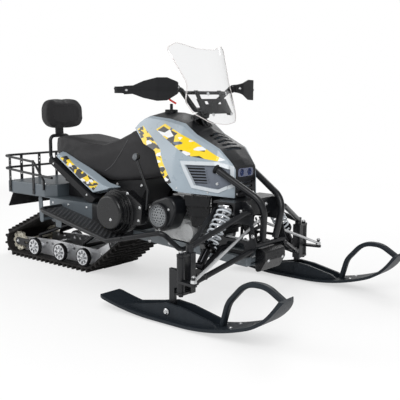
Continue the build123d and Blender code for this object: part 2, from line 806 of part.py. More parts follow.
with BuildPart() as lower_arms:
    add(tube([(610, -PLATE_Y - PLATE_T - SEAM, 238), (610, -134, 238), (524, -368, 148)], LINK_R, 10))
    add(tube([(470, -PLATE_Y - PLATE_T - SEAM, 238), (470, -134, 238), (508, -368, 148)], LINK_R, 10))
    add(tube([(497, -380 + LINK_R + SEAM, 148), (535, -380 + LINK_R + SEAM, 148)], LINK_R))
    add(tube([(548, -330, 164), (500, -330, 164)], LINK_R))
    with BuildSketch(side(322)):
        with Locations((SHOCK_X, 176)):
            RectangleRounded(34, 30, 8)
    extrude(amount=14)
    mirror(about=Plane.XZ)
save(lower_arms, "lower_arms")

EYE_R = 12
SHOCK_TOP_Y, SHOCK_TOP_Z = 153, TOWER_Z - 8 - SEAM - EYE_R
SHOCK_LOW_Y, SHOCK_LOW_Z = 329, 191 + SEAM + EYE_R
shock_run = Vector(0, SHOCK_TOP_Y - SHOCK_LOW_Y, SHOCK_LOW_Z - SHOCK_TOP_Z)
shock_plane = Plane(origin=(SHOCK_X, -SHOCK_TOP_Y, SHOCK_TOP_Z), x_dir=(1, 0, 0), z_dir=shock_run)
SPRING_TOP, SPRING_LENGTH, SPRING_R, WIRE_R, COILS = 28, 160, 30, 4, 7
with BuildPart() as shocks:
    for y, z in ((SHOCK_TOP_Y, SHOCK_TOP_Z), (SHOCK_LOW_Y, SHOCK_LOW_Z)):
        add(tube([(SHOCK_X - 15, -y, z), (SHOCK_X + 15, -y, z)], EYE_R))
    with BuildSketch(shock_plane):
        Circle(10)
    extrude(amount=shock_run.length)
    with BuildSketch(shock_plane.offset(SPRING_TOP - WIRE_R - 8)):
        Circle(36)
    extrude(amount=8 - SEAM)
    with BuildSketch(shock_plane.offset(SPRING_TOP + SPRING_LENGTH + WIRE_R + SEAM)):
        Circle(36)
    extrude(amount=8)
    with BuildSketch(shock_plane.offset(shock_run.length - 70)):
        Circle(17)
    extrude(amount=58)
    mirror(about=Plane.XZ)
save(shocks, "shocks")

with BuildPart() as spring_form:
    with BuildLine() as coil:
        Helix(pitch=SPRING_LENGTH / COILS, height=SPRING_LENGTH, radius=SPRING_R)
    with BuildSketch(Plane(origin=coil.line @ 0, z_dir=coil.line % 0)):
        RegularPolygon(WIRE_R, 6)
    sweep(is_frenet=True)

with BuildPart() as springs:
    with Locations(shock_plane.offset(SPRING_TOP).location):
        add(spring_form.part)
    mirror(about=Plane.XZ)
save(springs, "springs")

# Uprights at the arm ends: a block with two lugs that hold a kingpin
LUG_R = 17
UPRIGHT_LOW, UPRIGHT_HIGH = 112, 270
with BuildPart() as uprights:
    block = ((497, UPRIGHT_LOW), (535, UPRIGHT_LOW), (535, UPRIGHT_HIGH), (497, UPRIGHT_HIGH))
    add(slab(block, side(380), 30))
    for z in (UPRIGHT_LOW, UPRIGHT_HIGH - 10):
        with BuildSketch(Plane.XY.offset(z)):
            with Locations((KING_X, -KING_Y)):
                Circle(LUG_R)
            with Locations((KING_X, -402)):
                Circle(LUG_R)
            make_hull()
        extrude(amount=10)
    with BuildSketch(Plane.XY.offset(UPRIGHT_LOW - 8)):
        with Locations((KING_X, -KING_Y)):
            Circle(KING_R)
    extrude(amount=UPRIGHT_HIGH - UPRIGHT_LOW + 16)
    mirror(about=Plane.XZ)
save(uprights, "uprights")

# Spindles: a tube on the kingpin with a steering arm and the leg down to the ski
ARM_X = KING_X + ARM_REACH
ARM_Y = KING_Y + ARM_SIDE
LEG_T = 14
with BuildPart() as spindle_right:
    with BuildSketch(Plane.XY.offset(UPRIGHT_LOW + 12)):
        with Locations((KING_X, -KING_Y)):
            Circle(16)
    extrude(amount=UPRIGHT_HIGH - UPRIGHT_LOW - 24)
    leg = ((466, 49), (494, 49), (492, 110), (492, 138), (512, 142), (512, 200), (492, 212), (466, 212))
    add(slab(leg, side(SKI_Y - LEG_T / 2), LEG_T))
    with BuildSketch(side(SKI_Y - LEG_T / 2)):
        with Locations((SKI_X, SKI_Z)):
            Circle(15)
    extrude(amount=LEG_T)
    with BuildSketch(Plane.XY.offset(ARM_Z)):
        with Locations((KING_X, -KING_Y)):
            Circle(16)
        with Locations((ARM_X, -ARM_Y)):
            Circle(13)
        make_hull()
    extrude(amount=ARM_T)
    with BuildSketch(Plane.XY.offset(ARM_Z)):
        with Locations((ARM_X, -ARM_Y)):
            Circle(5)
    extrude(amount=36)
    with BuildSketch(Plane.XY.offset(ARM_Z + 29)):
        with Locations((ARM_X, -ARM_Y)):
            RegularPolygon(8, 6)
    extrude(amount=7)
    with BuildSketch(Plane.XY.offset(UPRIGHT_LOW)):
        with Locations((KING_X, -KING_Y)):
            Circle(KING_R + 0.15)
    extrude(amount=UPRIGHT_HIGH - UPRIGHT_LOW, mode=Mode.SUBTRACT)
    with BuildSketch(side(SKI_Y)):
        with Locations((SKI_X, SKI_Z)):
            Circle(6.15)
    extrude(amount=LEG_T, both=True, mode=Mode.SUBTRACT)
save(spindle_right, "spindle_right")
with BuildPart() as spindle_left:
    mirror(spindle_right.part, about=Plane.XZ)
save(spindle_left, "spindle_left")

# Tie rods from the steering arms to the two studs at the foot of the post
ROD_Z = ARM_Z + ARM_T + 3
eye_plane = post_plane.offset(EYE_LIFT - 6)
with BuildPart() as tie_rod_right:
    rod_end = post_plane.from_local_coords((ARM_REACH, -ARM_SIDE, EYE_LIFT))
    add(tube([(ARM_X, -ARM_Y, ROD_Z + 6), tuple(rod_end)], 6))
    with BuildSketch(Plane.XY.offset(ROD_Z)):
        with Locations((ARM_X, -ARM_Y)):
            Circle(12)
    extrude(amount=12)
    with BuildSketch(eye_plane):
        with Locations((ARM_REACH, -ARM_SIDE)):
            Circle(EYE_BORE + 4)
    extrude(amount=12)
    with BuildSketch(Plane.XY.offset(ROD_Z - 20)):
        with Locations((ARM_X, -ARM_Y)):
            Circle(5.15)
    extrude(amount=60, mode=Mode.SUBTRACT)
    with BuildSketch(eye_plane.offset(-20)):
        with Locations((ARM_REACH, -ARM_SIDE)):
            Circle(EYE_BORE)
    extrude(amount=60, mode=Mode.SUBTRACT)
save(tie_rod_right, "tie_rod_right")
with BuildPart() as tie_rod_left:
    mirror(tie_rod_right.part, about=Plane.XZ)
save(tie_rod_left, "tie_rod_left")

# Skis: a curved runner with two ribs, a keel and a bow over the tip
FLAT_FRONT, RISE_X = 561, TIP_X - 135


# A place on the rising front of the ski, from the end of its flat at 0 to the start of its tip at 1
def rise_x(share):
    return FLAT_FRONT + share * (RISE_X - FLAT_FRONT)


BOW_X = rise_x(0.53)
BOW_RUN = TIP_X - 12 - BOW_X
with BuildPart() as ski_right:
    with BuildSketch(side(SKI_Y)):
        with BuildLine():
            flat = Line((430, 14), (FLAT_FRONT, 14))
            rise = TangentArc(flat @ 1, (RISE_X, 68), tangent=(1, 0))
            TangentArc(rise @ 1, (TIP_X - 5.5, 184), tangent=rise % 1)
            TangentArc(flat @ 0, (128, 50), tangent=(-1, 0))
        trace(line_width=SKI_T)
    extrude(amount=SKI_HALF, both=True)
    with BuildSketch():
        with Locations(((TIP_X + 110) / 2, -SKI_Y)):
            RectangleRounded(TIP_X - 110 + 4, 2 * SKI_HALF, 44)
    extrude(amount=400, mode=Mode.INTERSECT)
    rib_low = [(225, 30), (327, 17), (430, 12), (FLAT_FRONT, 12), (rise_x(0.286), 17), (BOW_X, 29)]
    rib_high = [(rise_x(0.424), 50), (560, 76), (482, 82), (400, 64)]
    for inner in (SKI_Y - 36, SKI_Y + 24):
        add(slab([*rib_low, *rib_high], side(inner), 12))
    keel = ((330, 18), (420, 0), (575, 0), (rise_x(0.39), 22), (575, 16))
    add(slab(keel, side(SKI_Y), 7, both=True))
    with BuildSketch(side(SKI_Y - 40)):
        with Locations((SKI_X, SKI_Z)):
            Circle(6)
    extrude(amount=80)
    for face in (SKI_Y - 24, SKI_Y + 8):
        with BuildSketch(side(face)):
            with Locations((SKI_X, SKI_Z)):
                Circle(12)
        extrude(amount=16)
    with BuildLine():
        FilletPolyline(
            (BOW_X, -SKI_Y, 36),
            (BOW_X + 26, -SKI_Y, 128),
            (BOW_X + 0.391 * BOW_RUN, -SKI_Y, 214),
            (BOW_X + 0.714 * BOW_RUN, -SKI_Y, 216),
            (BOW_X + BOW_RUN, -SKI_Y, 172),
            radius=100,
        )
    with BuildSketch(Plane(origin=(BOW_X, -SKI_Y, 36), x_dir=(0, 1, 0), z_dir=(26, 0, 92))):
        RectangleRounded(30, 20, 8)
    sweep()
save(ski_right, "ski_right")
with BuildPart() as ski_left:
    mirror(ski_right.part, about=Plane.XZ)
save(ski_left, "ski_left")

# Steering post with the two-stud arm at its foot and the bar clamp at its head
with BuildPart() as steering_post:
    with BuildSketch(post_plane.offset(-6)):
        Circle(POST_R)
    extrude(amount=post_run.length + 4)
    with BuildSketch(post_plane.offset(-5)):
        Circle(17)
        with Locations((ARM_REACH, -ARM_SIDE), (ARM_REACH, ARM_SIDE)):
            Circle(11)
        make_hull()
    extrude(amount=10)
    with BuildSketch(post_plane):
        with Locations((ARM_REACH, -ARM_SIDE), (ARM_REACH, ARM_SIDE)):
            Circle(4)
    extrude(amount=EYE_LIFT + 20)
    with BuildSketch(post_plane.offset(post_run.length - 20)):
        RectangleRounded(40, 64, 10)
    extrude(amount=26)
save(steering_post, "steering_post")

# Handlebar with its cross brace, and the grips
BAR = ((250, 46, 802.5), (272, 166, 888), (266, 212, 896), (190, 438, 884))
BRACE_X, BRACE_Z, BRACE_R = 270, 876, 8
with BuildPart() as handlebar:
    add(tube([*[(x, -y, z) for x, y, z in reversed(BAR)], *BAR], BAR_R, 24))
    add(tube([(BRACE_X, -152, BRACE_Z), (BRACE_X, 152, BRACE_Z)], BRACE_R))
save(handlebar, "handlebar")

with BuildPart() as grips:
    grip_end = Vector(190, -438, 884)
    grip_run = Vector(266, -212, 896) - grip_end
    grip_plane = Plane(origin=grip_end, z_dir=grip_run)
    with BuildSketch(grip_plane.offset(18)):
        Circle(GRIP_R)
        Circle(BAR_R + SEAM, mode=Mode.SUBTRACT)
    extrude(amount=128)
    mirror(about=Plane.XZ)
save(grips, "grips")

# Hand guards: bent drop-shaped shells in front of the grips, each with a ridge along its middle
GUARD_RUN = ((262, -196), (306, -214), (290, -330), (196, -452), (174, -452))
GUARD_FACE = (
    (-186, 886),
    (-232, 868),
    (-282, 845),
    (-330, 843),
    (-372, 854),
    (-410, 871),
    (-460, 873),
    (-460, 898),
    (-410, 901),
    (-372, 922),
    (-330, 936),
    (-282, 937),
    (-232, 922),
    (-186, 908),
)
GUARD_LOW, GUARD_HIGH, RIDGE_Z, RIDGE_H = 836, 944, 887, 7
with BuildPart() as hand_guards:
    for low, high, thickness in ((GUARD_LOW, GUARD_HIGH, 5), (RIDGE_Z, RIDGE_Z + RIDGE_H, 10)):
        with BuildSketch(Plane.XY.offset(low)):
            with BuildLine():
                FilletPolyline(*GUARD_RUN, radius=(30, 40, 20))
            trace(line_width=thickness)
        extrude(amount=high - low)
    with BuildSketch(Plane.YZ.offset(100)):
        with BuildLine():
            FilletPolyline(*GUARD_FACE, radius=9, close=True)
        make_face()
    extrude(amount=300, mode=Mode.INTERSECT)
    with BuildSketch(grip_plane.offset(16)):
        Circle(GRIP_R + 1)
    extrude(amount=132, mode=Mode.SUBTRACT)
    mirror(about=Plane.XZ)
    add(tube([*[(x, -y, z) for x, y, z in reversed(BAR)], *BAR], BAR_R + SEAM, 24), mode=Mode.SUBTRACT)
save(hand_guards, "hand_guards")

# Windshield: a leaned curved sheet cut to its outline
SCREEN = ((730, 390, 190, 302), (1090, 260, 210, 200))
SCREEN_T = 4


def screen_form(thickness):
    with BuildPart() as sheet:
        for z, middle_x, half_y, side_x in SCREEN:
            with BuildSketch(Plane.XY.offset(z)):
                with BuildLine():
                    ThreePointArc((side_x, -half_y), (middle_x, 0), (side_x, half_y))
                trace(line_width=thickness)
        loft(ruled=True)
    return sheet.part


with BuildPart() as windshield:
    add(screen_form(SCREEN_T))
    with BuildSketch(Plane.YZ):
        with BuildLine():
            FilletPolyline(
                (0, 742),
                (84, 750),
                (146, 790),
                (166, 838),
                (144, 915),
                (194, 1062),
                (152, 1084),
                (60, 1062),
                (0, 1060),
                radius=(0, 30, 30, 30, 60, 16, 20, 20, 0),
                close=True,
            )
        make_face()
        mirror(about=Plane.YZ)
    extrude(amount=600, mode=Mode.INTERSECT)
save(windshield, "windshield")

# Strips that carry the windshield on the bar brace, and the dash plate behind it
STRIP = ((279, 886), (283, 886), (341, 780), (337, 780))
with BuildPart() as windshield_mount:
    for y in (-92, 68):
        add(slab(STRIP, side(-y - 24), 24))
    add(slab([(300, 850), (304, 850), (341, 787), (337, 787)], side(0), 100, both=True))
    with BuildSketch(Plane.YZ.offset(290)):
        with Locations((-44, 834), (44, 834), (-44, 806), (0, 806), (44, 806)):
            RectangleRounded(24, 13, 3)
    extrude(amount=30, mode=Mode.SUBTRACT)
    for y in (-80, 80):
        add(tube([(336, y, 786), (352, y, 786)], 7))
        add(tube([(BRACE_X + BRACE_R + SEAM, y, BRACE_Z), (284, y, BRACE_Z)], 6))
    add(screen_form(SCREEN_T + 2 * SEAM), mode=Mode.SUBTRACT)
save(windshield_mount, "windshield_mount")

# Seat: one cushion from the tank to the tail, narrower at the knees
SEAT_SIDE = (
    (46, 768),
    (-40, 722),
    (-196, 656),
    (-270, 634),
    (-520, 660),
    (-655, 648),
    (-650, 600),
    (-600, 566),
    (-206, 460),
    (0, 482),
    (150, 516),
    (196, 560),
    (118, 668),
)
SEAT_PLAN = ((-658, 74), (-622, 104), (-560, 132), (-360, 132), (-190, 108), (200, 92))
with BuildPart() as seat:
    add(slab(SEAT_SIDE, side(0), 150, 18, both=True))
    with BuildSketch(Plane.XY.offset(300)):
        with BuildLine():
            FilletPolyline(*SEAT_PLAN, *[(x, -y) for x, y in reversed(SEAT_PLAN)], radius=14, close=True)
        make_face()
    extrude(amount=600, mode=Mode.INTERSECT)
save(seat, "seat")

# Seat base: the closed box under the seat that stands on the tunnel
BASE_HALF = 92
with BuildPart() as seat_base:
    base = (
        (-566, 432),
        (-540, 424),
        (-540, TUNNEL_TOP + SEAM),
        (-50, TUNNEL_TOP + SEAM),
        (0, 440),
        (0, 482 - SEAM),
        (-206, 460 - SEAM),
        (-566, 556 - SEAM),
    )
    add(slab(base, side(0), BASE_HALF, both=True))
save(seat_base, "seat_base")

# Tail panels beside the seat base, and the dark fenders under them
TAIL = (
    (-532, 584),
    (-506, 580),
    (-310, 508),
    (-196, 456),
    (-120, 442),
    (-168, 420),
    (-268, 396),
    (-330, 430),
    (-532, 552),
)
with BuildPart() as tail_panels:
    with BuildSketch(side(132 + SEAM)):
        Polygon(*TAIL, align=None)
    extrude(amount=46, taper=12)
    mirror(about=Plane.XZ)
save(tail_panels, "tail_panels")

FENDER = (
    (-572, 552),
    (-556, 552),
    (-332, 428),
    (-268, 392),
    (-240, 380),
    (-262, 358),
    (-300, 362),
    (-360, 404),
    (-576, 530),
)
with BuildPart() as tail_fenders:
    with BuildSketch(side(BASE_HALF + SEAM)):
        Polygon(*FENDER, align=None)
    extrude(amount=96)
    mirror(about=Plane.XZ)
save(tail_fenders, "tail_fenders")

# Grab rail behind the seat, and the backrest that stands on it
HOOP_X, HOOP_Y, HOOP_Z = -714, 62, 650
with BuildPart() as grab_rail:
    add(
        tube(
            [
                (-566 - SEAM, -HOOP_Y, 528),
                (HOOP_X, -HOOP_Y, 528),
                (HOOP_X, -HOOP_Y, HOOP_Z),
                (HOOP_X, HOOP_Y, HOOP_Z),
                (HOOP_X, HOOP_Y, 528),
                (-566 - SEAM, HOOP_Y, 528),
            ],
            9,
            26,
        )
    )
    post = ((HOOP_X - 5, HOOP_Z), (HOOP_X + 3.8, HOOP_Z), (HOOP_X - 4.3, 800), (HOOP_X - 12.3, 800))
    add(slab(post, side(0), 24, both=True))
save(grab_rail, "grab_rail")

with BuildPart() as backrest_pad:
    pad = ((HOOP_X + 2, 690), (HOOP_X + 58, 694), (HOOP_X + 44, 842), (HOOP_X - 6, 838))
    add(slab(pad, side(0), 123, 12, both=True))
    with BuildSketch(Plane.YZ.offset(-800)):
        with Locations((0, 766)):
            RectangleRounded(246, 152, 64)
    extrude(amount=300, mode=Mode.INTERSECT)
save(backrest_pad, "backrest_pad")

# Shift lever beside the tank
with BuildPart() as shift_lever:
    add(tube([(122.5, -222, 372), (136, -224, 452), (74, -230, 592)], 6, 20))
    with Locations((72, -230, 598)):
        Sphere(17, rotation=(35, 20, 0))
save(shift_lever, "shift_lever")

# Thumb lever on the right grip
with BuildPart() as thumb_lever:
    add(tube([(262, -222, 880), (276, -262, 856), (284, -212, 832)], 4, 16))
save(thumb_lever, "thumb_lever")
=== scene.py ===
"""Looks of the compact two-ski snow vehicle: finishes, soft seat, trim and fasteners on the CAD frame."""

import json
import math

import bmesh
import bpy
import numpy as np
from mathutils import Matrix, Vector
from mathutils.bvhtree import BVHTree


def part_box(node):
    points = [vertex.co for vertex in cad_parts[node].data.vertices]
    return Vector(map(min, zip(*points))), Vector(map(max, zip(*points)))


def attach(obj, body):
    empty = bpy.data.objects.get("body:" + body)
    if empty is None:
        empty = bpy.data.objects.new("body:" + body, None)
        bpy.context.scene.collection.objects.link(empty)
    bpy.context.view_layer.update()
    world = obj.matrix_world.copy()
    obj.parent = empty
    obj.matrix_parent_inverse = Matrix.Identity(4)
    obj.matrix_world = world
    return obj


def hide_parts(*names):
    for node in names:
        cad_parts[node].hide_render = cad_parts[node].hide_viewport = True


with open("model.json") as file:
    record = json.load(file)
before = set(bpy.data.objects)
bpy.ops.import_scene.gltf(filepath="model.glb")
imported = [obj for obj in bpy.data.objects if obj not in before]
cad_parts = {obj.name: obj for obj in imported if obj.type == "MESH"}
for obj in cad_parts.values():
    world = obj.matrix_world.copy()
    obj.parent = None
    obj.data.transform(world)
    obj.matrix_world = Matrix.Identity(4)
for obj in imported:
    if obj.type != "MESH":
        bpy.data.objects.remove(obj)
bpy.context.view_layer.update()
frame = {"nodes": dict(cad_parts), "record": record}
nodes = frame["nodes"]

MM = 0.001
RIGHT, LEFT = -1, 1

# Colours in linear light
GREY = (0.315, 0.375, 0.425)
DECK_GREY = (0.085, 0.104, 0.120)
FRAME_GREY = (0.115, 0.135, 0.150)
DEEP_GREY = (0.11, 0.14, 0.18)
BLACK = (0.0055, 0.0062, 0.0080)
SOFT_BLACK = (0.010, 0.0104, 0.0118)
YELLOW = (0.88, 0.62, 0.01)
WHITE = (0.80, 0.81, 0.82)


class Look:
    """A procedural material on one Principled shader; its methods add nodes and return their outputs."""

    def __init__(self, name, **constants):
        self.material = bpy.data.materials.new(name)
        self.material.use_nodes = True
        self.tree = self.material.node_tree
        self.shader = self.tree.nodes["Principled BSDF"]
        coordinates = self.tree.nodes.new("ShaderNodeTexCoord")
        self.place = coordinates.outputs["Object"]
        self.facing = coordinates.outputs["Normal"]
        for socket, value in constants.items():
            self.shader.inputs[socket.replace("_", " ")].default_value = value

    def node(self, kind, *links, **settings):
        made = self.tree.nodes.new(kind)
        for key, value in settings.items():
            setattr(made, key, value)
        for socket, source in zip(made.inputs, links):
            self.feed(socket, source)
        return made

    def feed(self, socket, source):
        if isinstance(source, bpy.types.NodeSocket):
            self.tree.links.new(source, socket)
        elif source is not None:
            socket.default_value = source

    def maths(self, operation, a, b=None, c=None):
        return self.node("ShaderNodeMath", a, b, c, operation=operation).outputs[0]

    def stretched(self, scale, turn=(0, 0, 0)):
        made = self.node("ShaderNodeMapping", self.place)
        made.inputs["Scale"].default_value = scale
        made.inputs["Rotation"].default_value = turn
        return made.outputs[0]

    def noise(self, scale, detail=3.0, place=None):
        made = self.node("ShaderNodeTexNoise", place or self.place)
        made.inputs["Scale"].default_value = scale
        made.inputs["Detail"].default_value = detail
        return made.outputs[0]

    def cells(self, scale, output="Distance", place=None, feature="F1"):
        made = self.node("ShaderNodeTexVoronoi", place or self.place, feature=feature)
        made.inputs["Scale"].default_value = scale
        return made.outputs[output]

    def ramp(self, value, stops, sharp=False):
        made = self.node("ShaderNodeValToRGB", value)
        bands = made.color_ramp
        bands.interpolation = "CONSTANT" if sharp else "LINEAR"
        while len(bands.elements) < len(stops):
            bands.elements.new(1.0)
        for band, (at, colour) in zip(bands.elements, stops):
            band.position = at
            band.color = (*colour, 1) if len(colour) == 3 else colour
        return made.outputs[0]

    def mix(self, share, a, b):
        made = self.node("ShaderNodeMix", data_type="RGBA")
        self.feed(made.inputs[0], share)
        self.feed(made.inputs[6], (*a, 1) if isinstance(a, tuple) else a)
        self.feed(made.inputs[7], (*b, 1) if isinstance(b, tuple) else b)
        return made.outputs[2]

    def span(self, value, low, high):
        made = self.node("ShaderNodeMapRange", value)
        made.inputs["To Min"].default_value = low
        made.inputs["To Max"].default_value = high
        return made.outputs[0]

    def axes(self):
        return self.node("ShaderNodeSeparateXYZ", self.place).outputs

    def colour(self, source):
        self.feed(self.shader.inputs["Base Color"], source)
        return self

    def rough(self, source):
        self.feed(self.shader.inputs["Roughness"], source)
        return self

    def bump(self, height, depth, strength=1.0):
        made = self.node("ShaderNodeBump")
        made.inputs["Strength"].default_value = strength
        made.inputs["Distance"].default_value = depth
        self.feed(made.inputs["Height"], height)
        previous = self.shader.inputs["Normal"]
        if previous.links:
            self.tree.links.new(previous.links[0].from_socket, made.inputs["Normal"])
        self.tree.links.new(made.outputs[0], previous)
        return self

    def inside(self, corners):
        """1 inside a convex outline given anticlockwise in X and Z, as seen from the right."""
        x, _, z = self.axes()
        found = None
        for (ax, az), (bx, bz) in zip(corners, corners[1:] + corners[:1]):
            across = self.maths("MULTIPLY", self.maths("SUBTRACT", z, az * MM), (bx - ax) * MM)
            along = self.maths("MULTIPLY", self.maths("SUBTRACT", x, ax * MM), (bz - az) * MM)
            test = self.maths("GREATER_THAN", across, along)
            found = test if found is None else self.maths("MULTIPLY", found, test)
        return found

    def near(self, x_at, z_at, radius):
        """1 within a radius, in millimetres, of a line along Y."""
        x, _, z = self.axes()
        off_x = self.maths("SUBTRACT", x, x_at * MM)
        off_z = self.maths("SUBTRACT", z, z_at * MM)
        squares = self.maths("ADD", self.maths("POWER", off_x, 2.0), self.maths("POWER", off_z, 2.0))
        return self.maths("LESS_THAN", self.maths("SQRT", squares), radius * MM)

    def base(self):
        """The socket that now feeds the colour."""
        return self.shader.inputs["Base Color"].links[0].from_socket


def tinted(colour, factor):
    return tuple(min(1.0, c * factor) for c in colour)


def painted(name, colour, rough=0.32, coat=0.35, peel=0.00012):
    """Paint with a faint orange peel, slow tone changes and dusty roughness."""
    look = Look(name, Coat_Weight=coat, Coat_Roughness=0.12, IOR=1.48)
    look.colour(look.mix(look.noise(7), tinted(colour, 0.93), tinted(colour, 1.06)))
    look.rough(look.span(look.noise(38, 5), rough - 0.07, rough + 0.1))
    return look.bump(look.noise(420, 1), peel)


def moulded(name, colour, rough=0.42, grain=620, depth=0.00018, shine=0.24):
    """Moulded plastic with a fine leather-like grain and a slightly greyed, scuffed tone."""
    look = Look(name, IOR=1.47, Specular_IOR_Level=shine)
    scuffs = look.noise(60, 6, look.stretched((1, 3, 0.4)))
    tone = look.mix(look.noise(9), tinted(colour, 0.8), tinted(colour, 1.25))
    look.colour(look.mix(look.span(scuffs, -0.25, 0.55), tone, tinted(colour, 1.5)))
    look.rough(look.span(look.noise(45, 4), rough - 0.08, rough + 0.12))
    return look.bump(look.cells(grain), depth)


def coated(name, colour, rough=0.31):
    """Powder coat on steel with a fine pebble and a few rubbed places."""
    look = Look(name, IOR=1.5, Specular_IOR_Level=0.42, Coat_Weight=0.06, Coat_Roughness=0.2)
    rubbed = look.ramp(look.noise(55, 8), ((0.62, (0, 0, 0)), (0.74, (1, 1, 1))))
    tone = look.mix(look.noise(11), tinted(colour, 0.85), tinted(colour, 1.2))
    look.colour(look.mix(rubbed, tone, tinted(colour, 2.4)))
    look.rough(look.span(look.noise(70, 4), rough - 0.06, rough + 0.12))
    return look.bump(look.noise(900, 2), 0.00012)


def metal(name, colour, rough=0.3, brushed=(40, 40, 40), dull=0.12, metallic=1.0):
    """Bare or plated metal with directional brushing and dull patches."""
    look = Look(name, Metallic=metallic)
    lines = look.noise(1.0, 6, look.stretched(brushed))
    look.colour(look.mix(look.noise(25, 5), tinted(colour, 0.82), tinted(colour, 1.08)))
    look.rough(look.span(lines, rough - dull, rough + dull))
    return look.bump(lines, 0.00008)


def rubber(name, colour, rough=0.68):
    """Rubber with a chalky bloom and fine pores."""
    look = Look(name, IOR=1.45, Specular_IOR_Level=0.16)
    bloom = look.ramp(look.noise(16, 6), ((0.4, (0, 0, 0)), (0.75, (1, 1, 1))))
    look.colour(look.mix(bloom, colour, tinted(colour, 2.0)))
    look.rough(look.span(look.noise(80, 4), rough - 0.1, rough + 0.12))
    return look.bump(look.noise(700, 3), 0.0003)


def vinyl(name, colour):
    """Seat vinyl with a pebbled grain, soft creases and a worn sheen."""
    look = Look(name, IOR=1.5, Specular_IOR_Level=0.2, Sheen_Weight=0.04, Sheen_Roughness=0.5)
    look.colour(look.mix(look.noise(8, 4), tinted(colour, 0.85), tinted(colour, 1.25)))
    look.rough(look.span(look.noise(30, 5), 0.42, 0.62))
    look.bump(look.cells(560), 0.0004)
    return look.bump(look.noise(22, 4, look.stretched((1, 2.2, 1))), 0.0012)


# Facet stickers: slanted shards in yellow, black and white, on the flank, the rear strip and the tail
FLANK = [(96, 716), (292, 614), (428, 594), (452, 600), (300, 676), (140, 742)]
STRIP_TOP = [(-24, 712), (44, 646), (130, 612), (150, 636), (66, 694), (10, 728)]
STRIP_BEND = [(126, 616), (150, 572), (176, 588), (152, 634)]
STRIP_LOW = [(150, 572), (186, 516), (214, 488), (238, 496), (196, 556), (172, 590)]
TAIL = [(-500, 556), (-330, 446), (-262, 416), (-226, 452), (-330, 500), (-480, 566)]
BRIGHT = ((0.0, YELLOW), (0.42, SOFT_BLACK), (0.6, WHITE), (0.74, YELLOW), (0.9, DEEP_GREY))
DARK = ((0.0, SOFT_BLACK), (0.26, YELLOW), (0.52, SOFT_BLACK), (0.7, WHITE), (0.84, YELLOW))
SHARD_STRETCH, SHARD_TURN = (1.0, 0.05, 1.9), (0, 0.62, 0)
BIG_SHARDS, SMALL_SHARDS = 26, 38


def stickered(name, layers):
    """Grey paint with shards of three colours inside convex outlines, on the outer faces alone."""
    look = painted(name, GREY, rough=0.28, coat=0.5, peel=0.00003)
    across = look.node("ShaderNodeSeparateXYZ", look.facing).outputs[1]
    outer = look.maths("GREATER_THAN", look.maths("MULTIPLY", across, look.axes()[1]), 0.0)
    shards = look.stretched(SHARD_STRETCH, SHARD_TURN)
    for outline, scale, bands in layers:
        pick = look.node("ShaderNodeSeparateColor", look.cells(scale, "Color", shards)).outputs[0]
        place = look.maths("MULTIPLY", look.inside(outline), outer)
        look.colour(look.mix(place, look.base(), look.ramp(pick, bands, sharp=True)))
    return look


# Paint: the rim round the hood's intake is lightened as a painted highlight, and the tunnel is black in front
# of the seat's rear
INTAKE = [(301, 577), (347, 494), (440, 478), (482, 500), (474, 562), (430, 577)]
INTAKE_FRAME = [(276, 592), (338, 481), (440, 463), (492, 490), (486, 574), (432, 592)]
RIM_HIGHLIGHT_GREY = (0.56, 0.60, 0.635)
TUNNEL_BLACK_X = -250
strips = ((outline, SMALL_SHARDS, DARK) for outline in (STRIP_TOP, STRIP_BEND, STRIP_LOW))
hood_paint = stickered("hood_paint", ((FLANK, BIG_SHARDS, BRIGHT), *strips))
# Painted highlight: the band between the intake's frame and the intake is lightened, standing in for the
# glint on the rim's chamfer
rim_highlight = hood_paint.maths("SUBTRACT", hood_paint.inside(INTAKE_FRAME), hood_paint.inside(INTAKE))
hood_paint.colour(hood_paint.mix(rim_highlight, hood_paint.base(), RIM_HIGHLIGHT_GREY))
tail_paint = stickered("tail_paint", ((TAIL, SMALL_SHARDS, DARK),))
deck_paint = painted("deck_paint", DECK_GREY, 0.4)
frame_paint = painted("frame_paint", FRAME_GREY, 0.4)
spring_paint = painted("spring_paint", (0.60, 0.64, 0.68), 0.3)
tunnel_paint = painted("tunnel_paint", DECK_GREY, 0.4)
masked = tunnel_paint.maths("GREATER_THAN", tunnel_paint.axes()[0], TUNNEL_BLACK_X * MM)
tunnel_paint.colour(tunnel_paint.mix(masked, tunnel_paint.base(), BLACK))

# Plastic: the slots between the intake's fins are darkened as painted shade, and the fan shroud has a pale
# grille
FINE_GRAIN, FINE_DEPTH = 760, 0.00006
FINNED = [(302, 572), (344, 500), (392, 500), (376, 572)]
SLOT_FOOT, SLOT_PITCH, SLOT_START = 504.75, 12, 0.42
SLOT_SHADE_BLACK = (0.005, 0.0055, 0.007)
FAN_GRILLE, GRILLE_GREY = (198, 354, 47), (0.20, 0.21, 0.22)
black_plastic = moulded("black_plastic", SOFT_BLACK)
gloss_plastic = moulded("gloss_plastic", BLACK, 0.34, FINE_GRAIN, 0.00012)
cover_plastic = moulded("cover_plastic", (0.0045, 0.0048, 0.0058), 0.27, FINE_GRAIN, FINE_DEPTH, shine=0.5)
idler_plastic = moulded("idler_plastic", (0.60, 0.57, 0.48), 0.48, 500)
ski_plastic = moulded("ski_plastic", (0.012, 0.016, 0.021), 0.42, 380, 0.0003)
red_plastic = moulded("red_plastic", (0.52, 0.03, 0.025), 0.4)
intake_plastic = moulded("intake_plastic", (0.125, 0.140, 0.170), 0.4)
